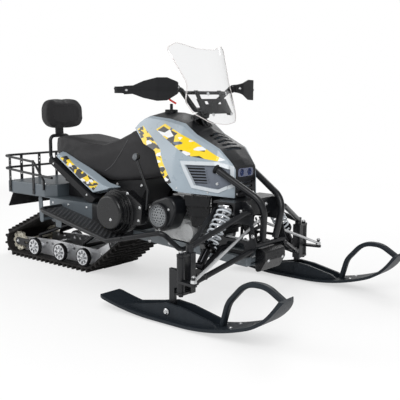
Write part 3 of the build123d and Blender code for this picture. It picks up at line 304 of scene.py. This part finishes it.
# Painted shade: dark stripes in the slots between the intake's fins
rise = intake_plastic.maths("SUBTRACT", intake_plastic.axes()[2], SLOT_FOOT * MM)
phase = intake_plastic.maths("FRACT", intake_plastic.maths("DIVIDE", rise, SLOT_PITCH * MM))
painted_slot_shade = intake_plastic.maths("GREATER_THAN", phase, SLOT_START)
painted_slot_shade = intake_plastic.maths("MULTIPLY", painted_slot_shade, intake_plastic.inside(FINNED))
intake_plastic.colour(intake_plastic.mix(painted_slot_shade, intake_plastic.base(), SLOT_SHADE_BLACK))
fan_plastic = moulded("fan_plastic", BLACK, 0.3, FINE_GRAIN, FINE_DEPTH, shine=0.45)
fan_plastic.colour(fan_plastic.mix(fan_plastic.near(*FAN_GRILLE), fan_plastic.base(), GRILLE_GREY))

# Coated steel: the shift lever has a paler knob
LEVER_KNOB, KNOB_GREY = (68, 600, 17), (0.12, 0.13, 0.14)
black_steel = coated("black_steel", BLACK)
stud_steel = coated("stud_steel", (0.045, 0.047, 0.052), 0.34)
knob_steel = coated("knob_steel", BLACK)
knob_steel.colour(knob_steel.mix(knob_steel.near(*LEVER_KNOB), knob_steel.base(), KNOB_GREY))

# Bare metal: the shocks are polished above a height and black below it
DULL_METAL = 0.7
SHAFT_Z, SHOCK_BLACK = 300, (0.02, 0.02, 0.022)
rail_alloy = metal("rail_alloy", (0.70, 0.71, 0.73), 0.42, (6, 120, 120), metallic=DULL_METAL)
wheel_alloy = metal("wheel_alloy", (0.74, 0.75, 0.77), 0.36, metallic=DULL_METAL)
cast_alloy = metal("cast_alloy", (0.50, 0.51, 0.515), 0.5, (90, 90, 90), metallic=DULL_METAL)
cast_alloy.bump(cast_alloy.noise(46, 5), 0.006)
zinc = metal("zinc", (0.72, 0.73, 0.74), 0.34, (40, 8, 40), metallic=DULL_METAL)
bolt_steel = metal("bolt_steel", (0.66, 0.67, 0.68), 0.3, (200, 200, 200))
chrome = metal("chrome", (0.80, 0.81, 0.83), 0.14, (20, 20, 20), 0.05)
shaft = chrome.maths("GREATER_THAN", chrome.axes()[2], SHAFT_Z * MM)
chrome.colour(chrome.mix(shaft, SHOCK_BLACK, chrome.base()))

# Rubber and vinyl
track_rubber = rubber("track_rubber", (0.017, 0.016, 0.0155))
tyre_rubber = rubber("tyre_rubber", (0.014, 0.014, 0.015), 0.6)
grip_rubber = rubber("grip_rubber", (0.012, 0.012, 0.013), 0.62)
seat_vinyl = vinyl("seat_vinyl", (0.021, 0.0205, 0.022))
piping_vinyl = vinyl("piping_vinyl", (0.07, 0.07, 0.073))

# Clear plastic
lens = Look("lens", Transmission_Weight=0.55, IOR=1.5, Coat_Weight=0.6)
lens.colour(lens.mix(lens.noise(30), (0.035, 0.055, 0.16), (0.10, 0.14, 0.32)))
lens.rough(lens.span(lens.noise(60), 0.04, 0.12))
screen = Look("screen", Transmission_Weight=1.0, IOR=1.25)
screen.colour(screen.mix(screen.noise(4), (0.88, 0.885, 0.89), (0.94, 0.94, 0.94)))
screen.rough(screen.span(screen.noise(90, 5), 0.0, 0.05))
screen_edge = Look("screen_edge", Transmission_Weight=0.25, IOR=1.3)
screen_edge.colour(screen_edge.mix(screen_edge.noise(14), (0.86, 0.80, 0.79), (0.93, 0.90, 0.89)))
screen_edge.rough(screen_edge.span(screen_edge.noise(80), 0.15, 0.35))

FINISHES = (
    (track_rubber, "track"),
    (tyre_rubber, "bogie_tyres", "mud_flap"),
    (rail_alloy, "slide_rails"),
    (wheel_alloy, "bogie_wheels"),
    (idler_plastic, "rear_idlers"),
    (black_steel, "track_tensioners", "swing_arms", "cargo_rack", "front_subframe", "running_boards"),
    (black_steel, "front_bumper", "upper_arms", "lower_arms", "uprights", "spindle_right", "spindle_left"),
    (black_steel, "steering_post", "handlebar", "grab_rail"),
    (knob_steel, "shift_lever"),
    (deck_paint, "cargo_deck", "return_rollers"),
    (tunnel_paint, "tunnel"),
    (frame_paint, "lower_frame"),
    (black_plastic, "drive_axle", "fuel_cap", "hand_guards", "windshield_mount", "seat_base", "tail_fenders"),
    (cover_plastic, "drive_covers", "belly_panels", "skid_cap"),
    (fan_plastic, "fan_shroud"),
    (gloss_plastic, "hood_top", "nose_panel"),
    (intake_plastic, "intake_panels"),
    (hood_paint, "hood_sides"),
    (tail_paint, "tail_panels"),
    (cast_alloy, "engine"),
    (chrome, "shocks"),
    (spring_paint, "springs"),
    (zinc, "tie_rod_right", "tie_rod_left"),
    (ski_plastic, "ski_right", "ski_left"),
    (grip_rubber, "grips"),
    (red_plastic, "thumb_lever"),
    (lens, "headlight"),
    (screen, "windshield"),
    (seat_vinyl, "seat", "backrest_pad"),
)
for look, *names in FINISHES:
    for name in names:
        nodes[name].data.materials.clear()
        nodes[name].data.materials.append(look.material)

# Rounded edges on the hard pieces
WELD_GAP = 1e-5
FLAT_ANGLE, SHARP_ANGLE = math.radians(0.8), math.radians(32)
BEVEL_STEPS = 2
EDGES = (
    # width, nodes
    (1.2, "hood_sides", "hood_top", "nose_panel", "intake_panels"),
    (1.2, "cargo_deck", "tunnel", "windshield_mount"),
    (2.5, "drive_covers", "fan_shroud", "skid_cap", "fuel_cap", "headlight", "tail_panels", "tail_fenders"),
    (1.5, "ski_right", "ski_left", "front_subframe", "uprights"),
    (1.5, "spindle_right", "spindle_left", "lower_frame"),
    (1.0, "hand_guards", "belly_panels", "slide_rails", "engine"),
    (1.0, "steering_post", "seat_base", "track_tensioners"),
)


def soften(name, width):
    """Welds a node's faces, clears its flat triangles and rounds its sharp edges, all by modifiers."""
    piece = nodes[name]
    weld = piece.modifiers.new("weld", "WELD")
    weld.merge_threshold = WELD_GAP
    flat = piece.modifiers.new("flat", "DECIMATE")
    flat.decimate_type = "DISSOLVE"
    flat.angle_limit = FLAT_ANGLE
    bevel = piece.modifiers.new("bevel", "BEVEL")
    bevel.width = width * MM
    bevel.segments = BEVEL_STEPS
    bevel.limit_method = "ANGLE"
    bevel.angle_limit = SHARP_ANGLE
    normals = piece.modifiers.new("normals", "WEIGHTED_NORMAL")
    normals.keep_sharp = False


for width, *names in EDGES:
    for name in names:
        soften(name, width)


def mesh_piece(name, bm, look, body):
    """A smooth new piece from a bmesh, with its material, riding on a CAD body."""
    data = bpy.data.meshes.new(name)
    bm.to_mesh(data)
    bm.free()
    piece = bpy.data.objects.new(name, data)
    bpy.context.scene.collection.objects.link(piece)
    data.materials.append(look.material)
    data.shade_smooth()
    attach(piece, body)
    return piece


def line_piece(name, runs, radius, look, body, closed=False):
    """A round line through points, for piping and edge trim."""
    curve = bpy.data.curves.new(name, "CURVE")
    curve.dimensions = "3D"
    curve.bevel_depth = radius * MM
    curve.bevel_resolution = 2
    curve.resolution_u = 4
    for points in runs:
        spline = curve.splines.new("BEZIER")
        spline.bezier_points.add(len(points) - 1)
        spline.use_cyclic_u = closed
        for knot, point in zip(spline.bezier_points, points):
            knot.co = point
            knot.handle_left_type = knot.handle_right_type = "AUTO"
    piece = bpy.data.objects.new(name, curve)
    bpy.context.scene.collection.objects.link(piece)
    curve.materials.append(look.material)
    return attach(piece, body)


def surface(*meshes):
    """A search tree over the faces of meshes."""
    points, faces = [], []
    for mesh in meshes:
        start = len(points)
        points += [v.co.copy() for v in mesh.vertices]
        faces += [[start + i for i in face.vertices] for face in mesh.polygons]
    return BVHTree.FromPolygons(points, faces)


def met(tree, start, run):
    """The point and outward normal where a ray meets a surface; start is in millimetres."""
    place, normal, _, _ = tree.ray_cast(Vector(start) * MM, Vector(run))
    if place is None:
        raise ValueError(f"nothing is met from {start} along {run}")
    return place, normal if normal.dot(Vector(run)) < 0 else -normal


def stand_on(spot, run):
    """A matrix that puts the Z axis along a direction, at a point."""
    return Matrix.Translation(spot) @ run.to_track_quat("Z", "Y").to_matrix().to_4x4()


def smooth(bm, rounds):
    """Rounds off a bmesh by moving each vertex towards its neighbours."""
    for _ in range(rounds):
        bmesh.ops.smooth_vert(
            bm, verts=bm.verts, factor=0.5, use_axis_x=True, use_axis_y=True, use_axis_z=True
        )


# Seat and backrest: the CAD solids' shapes, remeshed, drawn in and swollen by cloth pressure
DRAWN_IN = 0.4
CLOTH_QUALITY, CLOTH_MASS, CLOTH_STIFFNESS, CLOTH_FRAMES = 4, 0.2, 24, 14
SETTLE_ROUNDS = 3


def swollen(piece, pressure, cap, flat_below):
    """Where the cloth pressure takes a piece's vertices, with each one's path held to the cap."""
    rest = np.array([v.co for v in piece.data.vertices])
    held = piece.vertex_groups.new(name="held")
    held.add([v.index for v in piece.data.vertices if v.normal.z < flat_below], 1.0, "REPLACE")
    cloth = piece.modifiers.new("cloth", "CLOTH")
    cloth.settings.quality = CLOTH_QUALITY
    cloth.settings.mass = CLOTH_MASS
    cloth.settings.tension_stiffness = cloth.settings.compression_stiffness = CLOTH_STIFFNESS
    cloth.settings.use_pressure = True
    cloth.settings.uniform_pressure_force = pressure
    cloth.settings.effector_weights.gravity = 0
    cloth.settings.vertex_group_mass = "held"
    cloth.collision_settings.use_collision = False
    for step in range(1, CLOTH_FRAMES + 1):
        bpy.context.scene.frame_set(step)
    settled = piece.evaluated_get(bpy.context.evaluated_depsgraph_get())
    moved = np.array([v.co for v in settled.data.vertices]) - rest
    length = np.maximum(np.linalg.norm(moved, axis=1, keepdims=True), 1e-9)
    piece.modifiers.clear()
    bpy.context.scene.frame_set(1)
    return rest + moved * np.minimum(1, cap * MM / length)


def stuffed(name, node, voxel, rounding, pressure, cap, flat_below):
    """A soft copy of a CAD solid, crowned by cloth pressure; faces that look down stay flat."""
    bm = bmesh.new()
    bm.from_mesh(nodes[node].data)
    bmesh.ops.remove_doubles(bm, verts=bm.verts, dist=WELD_GAP)
    piece = mesh_piece(name, bm, seat_vinyl, "chassis")
    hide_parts(node)
    for other in bpy.context.selected_objects:
        other.select_set(False)
    bpy.context.view_layer.objects.active = piece
    piece.select_set(True)
    piece.data.remesh_voxel_size = voxel * MM
    bpy.ops.object.voxel_remesh()
    bm = bmesh.new()
    bm.from_mesh(piece.data)
    smooth(bm, rounding)
    bm.normal_update()
    for vertex in bm.verts:
        if vertex.normal.z > flat_below:
            vertex.co -= vertex.normal * cap * DRAWN_IN * MM
    bm.to_mesh(piece.data)
    bm.free()
    piece.data.vertices.foreach_set("co", swollen(piece, pressure, cap, flat_below).ravel())
    bm = bmesh.new()
    bm.from_mesh(piece.data)
    smooth(bm, SETTLE_ROUNDS)
    bm.to_mesh(piece.data)
    bm.free()
    piece.data.shade_smooth()
    piece.modifiers.new("fine", "SUBSURF").render_levels = 1
    return piece or piece


seat_pad = stuffed("seat_pad", "seat", voxel=7.5, rounding=7, pressure=4.0, cap=7, flat_below=-0.55)
back_pad = stuffed("back_pad", "backrest_pad", voxel=5.0, rounding=9, pressure=2.5, cap=5, flat_below=-2.0)

# Directions of the rays that place trim, and how far away the rays start
RIGHTWARD, LEFTWARD = (0, 1, 0), (0, -1, 0)
FORE, AFT, DOWN = (1, 0, 0), (-1, 0, 0), (0, 0, -1)
AWAY, ABOVE, BESIDE, IN_FRONT = 1500, 900, 300, 100

# Piping across the seat, between its rear and its raised front, and the sewn panel on the backrest
SEAM_SIDE = ((-242, 506), (-224, 518), (-202, 534), (-176, 561), (-151, 592), (-128, 624), (-112, 650))
SEAM_TOP_X, SEAM_TOP_HALF, SEAM_STEP, PIPING_R = -104, 76, 19, 2.2
seat_skin = surface(seat_pad.data)
right_side = [met(seat_skin, (x, -BESIDE, z), RIGHTWARD)[0] for x, z in SEAM_SIDE]
seam_ys = range(-SEAM_TOP_HALF, SEAM_TOP_HALF + 1, SEAM_STEP)
over = [met(seat_skin, (SEAM_TOP_X, y, ABOVE), DOWN)[0] for y in seam_ys]
left_side = [Vector((p.x, -p.y, p.z)) for p in reversed(right_side)]
line_piece("seat_piping", [right_side + over + left_side], PIPING_R, piping_vinyl, "chassis")

STITCH_HALF_Y, STITCH_HALF_Z, STITCH_STEPS, STITCH_R = 84, 42, 40, 1.1
pad_low, pad_high = (Vector(corner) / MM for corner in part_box("backrest_pad"))
pad_mid = (pad_low + pad_high) / 2
pad_skin = surface(back_pad.data)
ring = []
for step in range(STITCH_STEPS):
    angle = 2 * math.pi * step / STITCH_STEPS
    corner = Vector((math.cos(angle), math.sin(angle)))
    corner *= (abs(corner.x) ** 4 + abs(corner.y) ** 4) ** -0.25
    y, z = pad_mid.y + STITCH_HALF_Y * corner.x, pad_mid.z + STITCH_HALF_Z * corner.y
    ring.append(met(pad_skin, (pad_high.x + IN_FRONT, y, z), AFT)[0])
line_piece("backrest_stitching", [ring], STITCH_R, seat_vinyl, "chassis", closed=True)


# Turned forms: washers with bolt heads, studs, grommets and clamps
def bridge(bm, last, circle):
    """Faces between two rings of as many vertices."""
    for i in range(len(circle)):
        bm.faces.new((last[i - 1], last[i], circle[i], circle[i - 1]))


def add_turned(bm, stand, rows, size=1.0, sides=24):
    """Adds a turned form to a bmesh: rows of radius, height and hexagon mark, along the matrix's Z."""
    last = None
    for radius, height, hexagon in rows:
        circle = []
        for step in range(sides):
            angle = 2 * math.pi * step / sides
            reach = radius * size * MM
            if hexagon:
                reach *= math.cos(math.pi / 6) / math.cos(angle % (math.pi / 3) - math.pi / 6)
            spot = Vector((reach * math.cos(angle), reach * math.sin(angle), height * size * MM))
            circle.append(bm.verts.new(stand @ spot))
        if last:
            bridge(bm, last, circle)
        last = circle
    bm.faces.new(last)


# Fasteners: washer and domed hexagon head, as shares of the bolt's size
HEAD = (
    # radius, height, hexagon
    (1.45, 0.0, 0),
    (1.45, 0.16, 0),
    (1.36, 0.24, 0),
    (1.0, 0.24, 1),
    (1.0, 0.66, 1),
    (0.88, 0.84, 0),
    (0.5, 0.92, 0),
    (0.44, 0.7, 1),
    (0.05, 0.66, 0),
)
HEAD_SINK = 0.3
BOLTS = (
    # node, size, ray direction for the right side, places of the rays in the two other axes, mirrored
    ("slide_rails", 5, RIGHTWARD, ((-868, 78), (-640, 58), (-590, 58), (-470, 58)), True),
    ("slide_rails", 5, RIGHTWARD, ((-420, 60), (-300, 86)), True),
    ("bogie_wheels", 7, RIGHTWARD, ((-760, 70), (-555, 70), (-380, 70)), True),
    ("track_tensioners", 7, RIGHTWARD, ((-924, 76), (-800, 76)), True),
    ("lower_frame", 6, RIGHTWARD, ((60, 212), (180, 218), (300, 222), (400, 220)), True),
    ("front_subframe", 6, RIGHTWARD, ((450, 300), (456, 360), (470, 410), (612, 300)), True),
    ("front_subframe", 6, AFT, ((-120, 400), (120, 400), (-60, 410), (60, 410)), False),
    ("drive_covers", 5, RIGHTWARD, ((-20, 320), (96, 322), (104, 380), (-96, 290), (30, 436)), True),
    ("fan_shroud", 4, RIGHTWARD, ((146, 384), (250, 384), (198, 292)), False),
    ("tunnel", 4, RIGHTWARD, ((-290, 334), (-420, 334), (-535, 334)), True),
    ("intake_panels", 4, RIGHTWARD, ((430, 500),), True),
    ("hood_sides", 3, RIGHTWARD, ((400, 464), (268, 476)), True),
    ("nose_panel", 4, AFT, ((-60, 456), (60, 456)), False),
    ("skid_cap", 5, AFT, ((-52, 196), (52, 196)), False),
    ("cargo_deck", 5, DOWN, ((-870, -180), (-870, 180), (-610, -180), (-610, 180)), False),
    ("mud_flap", 5, FORE, ((-150, 330), (0, 330), (150, 330)), False),
    ("tail_fenders", 4, RIGHTWARD, ((-540, 526), (-300, 392)), True),
    ("seat_base", 5, RIGHTWARD, ((-30, 450), (-190, 444)), True),
    ("hand_guards", 4, AFT, ((-214, 896), (214, 896), (-430, 886), (430, 886)), False),
    ("windshield", 5, AFT, ((-62, 872), (62, 872), (-62, 785), (62, 785)), False),
    ("spindle_right", 7, DOWN, ((590, -459),), False),
    ("spindle_left", 7, DOWN, ((590, 459),), False),
    ("uprights", 7, DOWN, ((515, -445), (515, 445)), False),
    ("ski_right", 9, RIGHTWARD, ((480, 49),), False),
    ("ski_right", 5, DOWN, ((780, -480), (780, -420)), False),
    ("ski_left", 9, LEFTWARD, ((480, 49),), False),
    ("ski_left", 5, DOWN, ((780, 480), (780, 420)), False),
)
bodies = {name: body for body, names in frame["record"]["behaviour"]["bodies"].items() for name in names}


def ray_start(run, a, b):
    """The start of a ray well before the middle, with the other two places as given, in millimetres."""
    if run[0]:
        return Vector((-AWAY * run[0], a, b))
    if run[1]:
        return Vector((a, -AWAY * run[1], b))
    return Vector((a, b, -AWAY * run[2]))


heads = {}
for node, size, run, places, both in BOLTS:
    skin = surface(nodes[node].data)
    for mirror in (1, -1) if both else (1,):
        turned = (run[0], run[1] * mirror, run[2])
        for place in places:
            spot, normal = met(skin, ray_start(turned, *place), turned)
            stand = stand_on(spot - normal * HEAD_SINK * MM, normal)
            add_turned(heads.setdefault(bodies[node], bmesh.new()), stand, HEAD, size)
for body, bm in heads.items():
    mesh_piece(f"{body}_fasteners", bm, bolt_steel, body)

# Grip studs in staggered rows on the flat faces of the running boards
STUD = ((5.6, -0.3, 0), (5.4, 0.9, 0), (4.2, 1.9, 0), (2.2, 2.5, 0), (0.4, 2.7, 0))
STUD_SIDES, STUD_PITCH_X, STUD_PITCH_Y, STUD_FIRST_Y, BOARD_INNER = 10, 24, 18, 218, 214
FOOT, FOOT_FLAT = ((7, 0), (-7, 0), (0, 7), (0, -7)), 0.999
board_low, board_high = (Vector(corner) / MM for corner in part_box("running_boards"))
board_skin = surface(nodes["running_boards"].data)


def board_hit(x, y):
    return board_skin.ray_cast(Vector((x, y, ABOVE)) * MM, Vector(DOWN))


studs = bmesh.new()
for column in range(int((board_high.x - board_low.x) / STUD_PITCH_X)):
    for row in range(int((board_high.y - BOARD_INNER) / STUD_PITCH_Y)):
        x = board_low.x + (column + 0.5 * (row % 2) + 0.5) * STUD_PITCH_X
        for side in (RIGHT, LEFT):
            y = side * (STUD_FIRST_Y + row * STUD_PITCH_Y)
            edges = [board_hit(x + dx, y + dy) for dx, dy in FOOT]
            spot, normal, _, _ = board_hit(x, y)
            if spot and all(hit[0] and hit[1].dot(normal) > FOOT_FLAT for hit in edges):
                add_turned(studs, stand_on(spot, normal), STUD, sides=STUD_SIDES)
mesh_piece("board_studs", studs, stud_steel, "chassis")

# Splash guard: a ribbed sheet across the engine bay behind the front subframe
GUARD_X, GUARD_HALF, GUARD_LOW, GUARD_HIGH, GUARD_T = 388, 98, 262, 446, 2.5
GUARD_ROWS, GUARD_COLUMNS = 36, 24
RIB_DEPTH, RIB_PITCH, RIB_ROWS, RIB_MARGIN = 4.0, 6, (2, 3), 2
bm = bmesh.new()
sheet = []
for row in range(GUARD_ROWS + 1):
    z = GUARD_LOW + (GUARD_HIGH - GUARD_LOW) * row / GUARD_ROWS
    line = []
    for column in range(GUARD_COLUMNS + 1):
        y = GUARD_HALF * (2 * column / GUARD_COLUMNS - 1)
        ribbed = row % RIB_PITCH in RIB_ROWS and RIB_MARGIN <= column <= GUARD_COLUMNS - RIB_MARGIN
        line.append(bm.verts.new(Vector((GUARD_X + RIB_DEPTH * ribbed, y, z)) * MM))
    sheet.append(line)
for low, high in zip(sheet, sheet[1:]):
    for i in range(GUARD_COLUMNS):
        bm.faces.new((low[i], low[i + 1], high[i + 1], high[i]))
guard = mesh_piece("splash_guard", bm, black_plastic, "chassis")
guard.modifiers.new("thick", "SOLIDIFY").thickness = GUARD_T * MM

# Rubber gaiter in the hood's steering hole, folded between the hood and the steering post
POST_FOOT, POST_HEAD = Vector((510, 0, 288)) * MM, Vector((245, 0, 780)) * MM
GAITER_X, GAITER_R, GAITER_LIFT, GAITER_NECK_R, GAITER_DEPTH = 250, 48.5, 0.8, 15.5, 54
GAITER_RINGS, GAITER_SIDES, FOLDS, FOLD_HEIGHT = 13, 48, 3, 3.5
hood_skin = surface(nodes["hood_top"].data)
post_run = (POST_HEAD - POST_FOOT).normalized()
post_turn = post_run.to_track_quat("Z", "Y").to_matrix()
neck = POST_HEAD - post_run * GAITER_DEPTH * MM
bm = bmesh.new()
last = None
for ring_step in range(GAITER_RINGS):
    share = ring_step / (GAITER_RINGS - 1)
    fold = FOLD_HEIGHT * MM * math.sin(share * FOLDS * 2 * math.pi) * (1 - share)
    circle = []
    for step in range(GAITER_SIDES):
        angle = 2 * math.pi * step / GAITER_SIDES
        round_spot = Vector((math.cos(angle), math.sin(angle), 0))
        above_rim = Vector((GAITER_X, 0, ABOVE)) + round_spot * GAITER_R
        rim_spot = met(hood_skin, above_rim, DOWN)[0] + Vector((0, 0, GAITER_LIFT * MM))
        neck_spot = neck + post_turn @ round_spot * GAITER_NECK_R * MM
        circle.append(bm.verts.new(rim_spot.lerp(neck_spot, share) + Vector((0, 0, fold))))
    if last:
        bridge(bm, last, circle)
    last = circle
mesh_piece("steering_gaiter", bm, grip_rubber, "chassis")

# Rubber grommets where the bumper tubes enter the hood, and clamps on the bar
GROMMET = (
    # radius, height, hexagon
    (14.3, -5, 0),
    (17, -7, 0),
    (20, -5, 0),
    (21.5, 0, 0),
    (20, 5, 0),
    (17, 7, 0),
    (14.3, 5, 0),
)
CLAMP = (
    # radius, height, hexagon
    (11.3, -13, 0),
    (15, -13, 0),
    (16.5, -11, 0),
    (16.5, -2, 0),
    (15, 0, 0),
    (16.5, 2, 0),
    (16.5, 11, 0),
    (15, 13, 0),
)
TUBE_START, TUBE_END, TUBE_STEPS = (424, 114, 562), (640, 71, 432), 60
CLAMP_PLACE, CLAMP_RUN = (268.2, 195, 893), (-6, 46, 8)


def on_side(place, side):
    """A place given for the left side, as a vector on either side."""
    return Vector((place[0], place[1] * side, place[2]))


flank_skin = surface(nodes["hood_sides"].data, nodes["intake_panels"].data)
grommets, clamps = bmesh.new(), bmesh.new()
for side in (RIGHT, LEFT):
    start, end = on_side(TUBE_START, side) * MM, on_side(TUBE_END, side) * MM
    along = [start.lerp(end, step / TUBE_STEPS) for step in range(TUBE_STEPS)]
    entry = min(along, key=lambda spot: flank_skin.find_nearest(spot)[3])
    add_turned(grommets, stand_on(entry, (end - start).normalized()), GROMMET)
    clamp_run = on_side(CLAMP_RUN, side).normalized()
    add_turned(clamps, stand_on(on_side(CLAMP_PLACE, side) * MM, clamp_run), CLAMP)
mesh_piece("bumper_grommets", grommets, grip_rubber, "chassis")
mesh_piece("bar_clamps", clamps, black_plastic, "handlebar")

# Polished edge of the windshield
SCREEN_EDGE_ANGLE, SCREEN_EDGE_R, SHORTEST_RUN = 0.8, 1.1, 20


def sharp_runs(mesh, angle):
    """The sharp edges of a mesh, joined into closed runs of points; short runs are left out."""
    bm = bmesh.new()
    bm.from_mesh(mesh)
    bmesh.ops.remove_doubles(bm, verts=bm.verts, dist=WELD_GAP)
    inner = (edge for edge in bm.edges if len(edge.link_faces) == 2)
    sharp = dict.fromkeys(edge for edge in inner if edge.calc_face_angle() > angle)
    runs = []
    while sharp:
        edge = next(iter(sharp))
        del sharp[edge]
        points, tip = [edge.verts[0].co.copy()], edge.verts[1]
        while edge:
            points.append(tip.co.copy())
            edge = next((e for e in tip.link_edges if e in sharp), None)
            if edge:
                del sharp[edge]
                tip = edge.other_vert(tip)
        runs.append(points[:-1])
    bm.free()
    return [run for run in runs if len(run) > SHORTEST_RUN]


edge_runs = sharp_runs(nodes["windshield"].data, SCREEN_EDGE_ANGLE)
line_piece("windshield_edge", edge_runs, SCREEN_EDGE_R, screen_edge, "handlebar", closed=True)

# Stage: a pale floor that fades into the white world
FLOOR_HALF, FLOOR_FADE, FLOOR_WHITE = 20.0, (1.6, 4.5), 0.6
corners = [(x * FLOOR_HALF, y * FLOOR_HALF, 0) for x, y in ((-1, -1), (1, -1), (1, 1), (-1, 1))]
floor_mesh = bpy.data.meshes.new("floor")
floor_mesh.from_pydata(corners, [], [(0, 1, 2, 3)])
floor = bpy.data.objects.new("floor", floor_mesh)
bpy.context.scene.collection.objects.link(floor)
floor_look = Look("floor", Roughness=0.9)
floor_look.colour(floor_look.mix(floor_look.noise(3), (0.9, 0.9, 0.9), (0.92, 0.92, 0.92)))
reach = floor_look.node("ShaderNodeVectorMath", floor_look.place, operation="LENGTH").outputs["Value"]
fade = floor_look.node("ShaderNodeMapRange", reach, interpolation_type="SMOOTHSTEP")
fade.inputs["From Min"].default_value, fade.inputs["From Max"].default_value = FLOOR_FADE
camera_ray = floor_look.node("ShaderNodeLightPath").outputs["Is Camera Ray"]
whitened = floor_look.maths("MULTIPLY", camera_ray, FLOOR_WHITE)
share = floor_look.maths("MAXIMUM", fade.outputs[0], whitened)
glow = floor_look.node("ShaderNodeEmission")
blend = floor_look.node("ShaderNodeMixShader", share, floor_look.shader.outputs[0], glow.outputs[0])
floor_look.tree.links.new(blend.outputs[0], floor_look.tree.nodes["Material Output"].inputs["Surface"])
floor_mesh.materials.append(floor_look.material)

# World: white to the camera and through glass, dimmer as light and in reflections
AMBIENT, MIRRORED = 0.62, 0.4
RAY_LEVELS = (("Is Glossy Ray", MIRRORED), ("Is Camera Ray", 1.0), ("Is Transmission Ray", 1.0))
world = bpy.data.worlds.new("studio")
bpy.context.scene.world = world
world.use_nodes = True
sky = world.node_tree
backdrop = sky.nodes["Background"]
backdrop.inputs["Color"].default_value = (1, 1, 1, 1)
ray = sky.nodes.new("ShaderNodeLightPath")
strength = None
for kind, brightness in RAY_LEVELS:
    level = sky.nodes.new("ShaderNodeMix")
    sky.links.new(ray.outputs[kind], level.inputs[0])
    if strength is None:
        level.inputs[2].default_value = AMBIENT
    else:
        sky.links.new(strength, level.inputs[2])
    level.inputs[3].default_value = brightness
    strength = level.outputs[0]
sky.links.new(strength, backdrop.inputs["Strength"])

LAMPS = (
    # name, place, target, size, watts
    ("key", (2.4, -3.2, 3.4), (0, 0, 0.5), 2.4, 105),
    ("fill", (-3.4, -2.6, 2.2), (0, 0, 0.5), 3.0, 60),
    ("back", (-1.0, 3.6, 3.2), (0, 0, 0.5), 2.6, 70),
)
for name, place, target, size, watts in LAMPS:
    lamp = bpy.data.lights.new(name, "AREA")
    lamp.size = size
    lamp.energy = watts
    holder = bpy.data.objects.new(name, lamp)
    holder.location = place
    holder.rotation_euler = (Vector(target) - Vector(place)).to_track_quat("-Z", "Y").to_euler()
    bpy.context.scene.collection.objects.link(holder)

# The photograph's camera: its turn from +Y, its dip below level and its roll
CAMERA_PLACE = Vector((2.239, -2.443, 0.875))
CAMERA_TURN, CAMERA_DIP, CAMERA_ROLL = (math.radians(a) for a in (39.25, 8.54, 0.37))
CAMERA_LENS = 64.1
level_ahead = Vector((-math.sin(CAMERA_TURN), math.cos(CAMERA_TURN), 0))
ahead = level_ahead * math.cos(CAMERA_DIP) - Vector((0, 0, math.sin(CAMERA_DIP)))
level_right = Vector((math.cos(CAMERA_TURN), math.sin(CAMERA_TURN), 0))
level_up = level_right.cross(ahead)
right = level_right * math.cos(CAMERA_ROLL) + level_up * math.sin(CAMERA_ROLL)
up = right.cross(ahead)
camera_data = bpy.data.cameras.new("camera")
camera_data.lens = CAMERA_LENS
camera = bpy.data.objects.new("camera", camera_data)
camera.matrix_world = Matrix.Translation(CAMERA_PLACE) @ Matrix((right, up, -ahead)).transposed().to_4x4()
bpy.context.scene.collection.objects.link(camera)
bpy.context.scene.camera = camera
bpy.context.scene.view_settings.view_transform = "Standard"
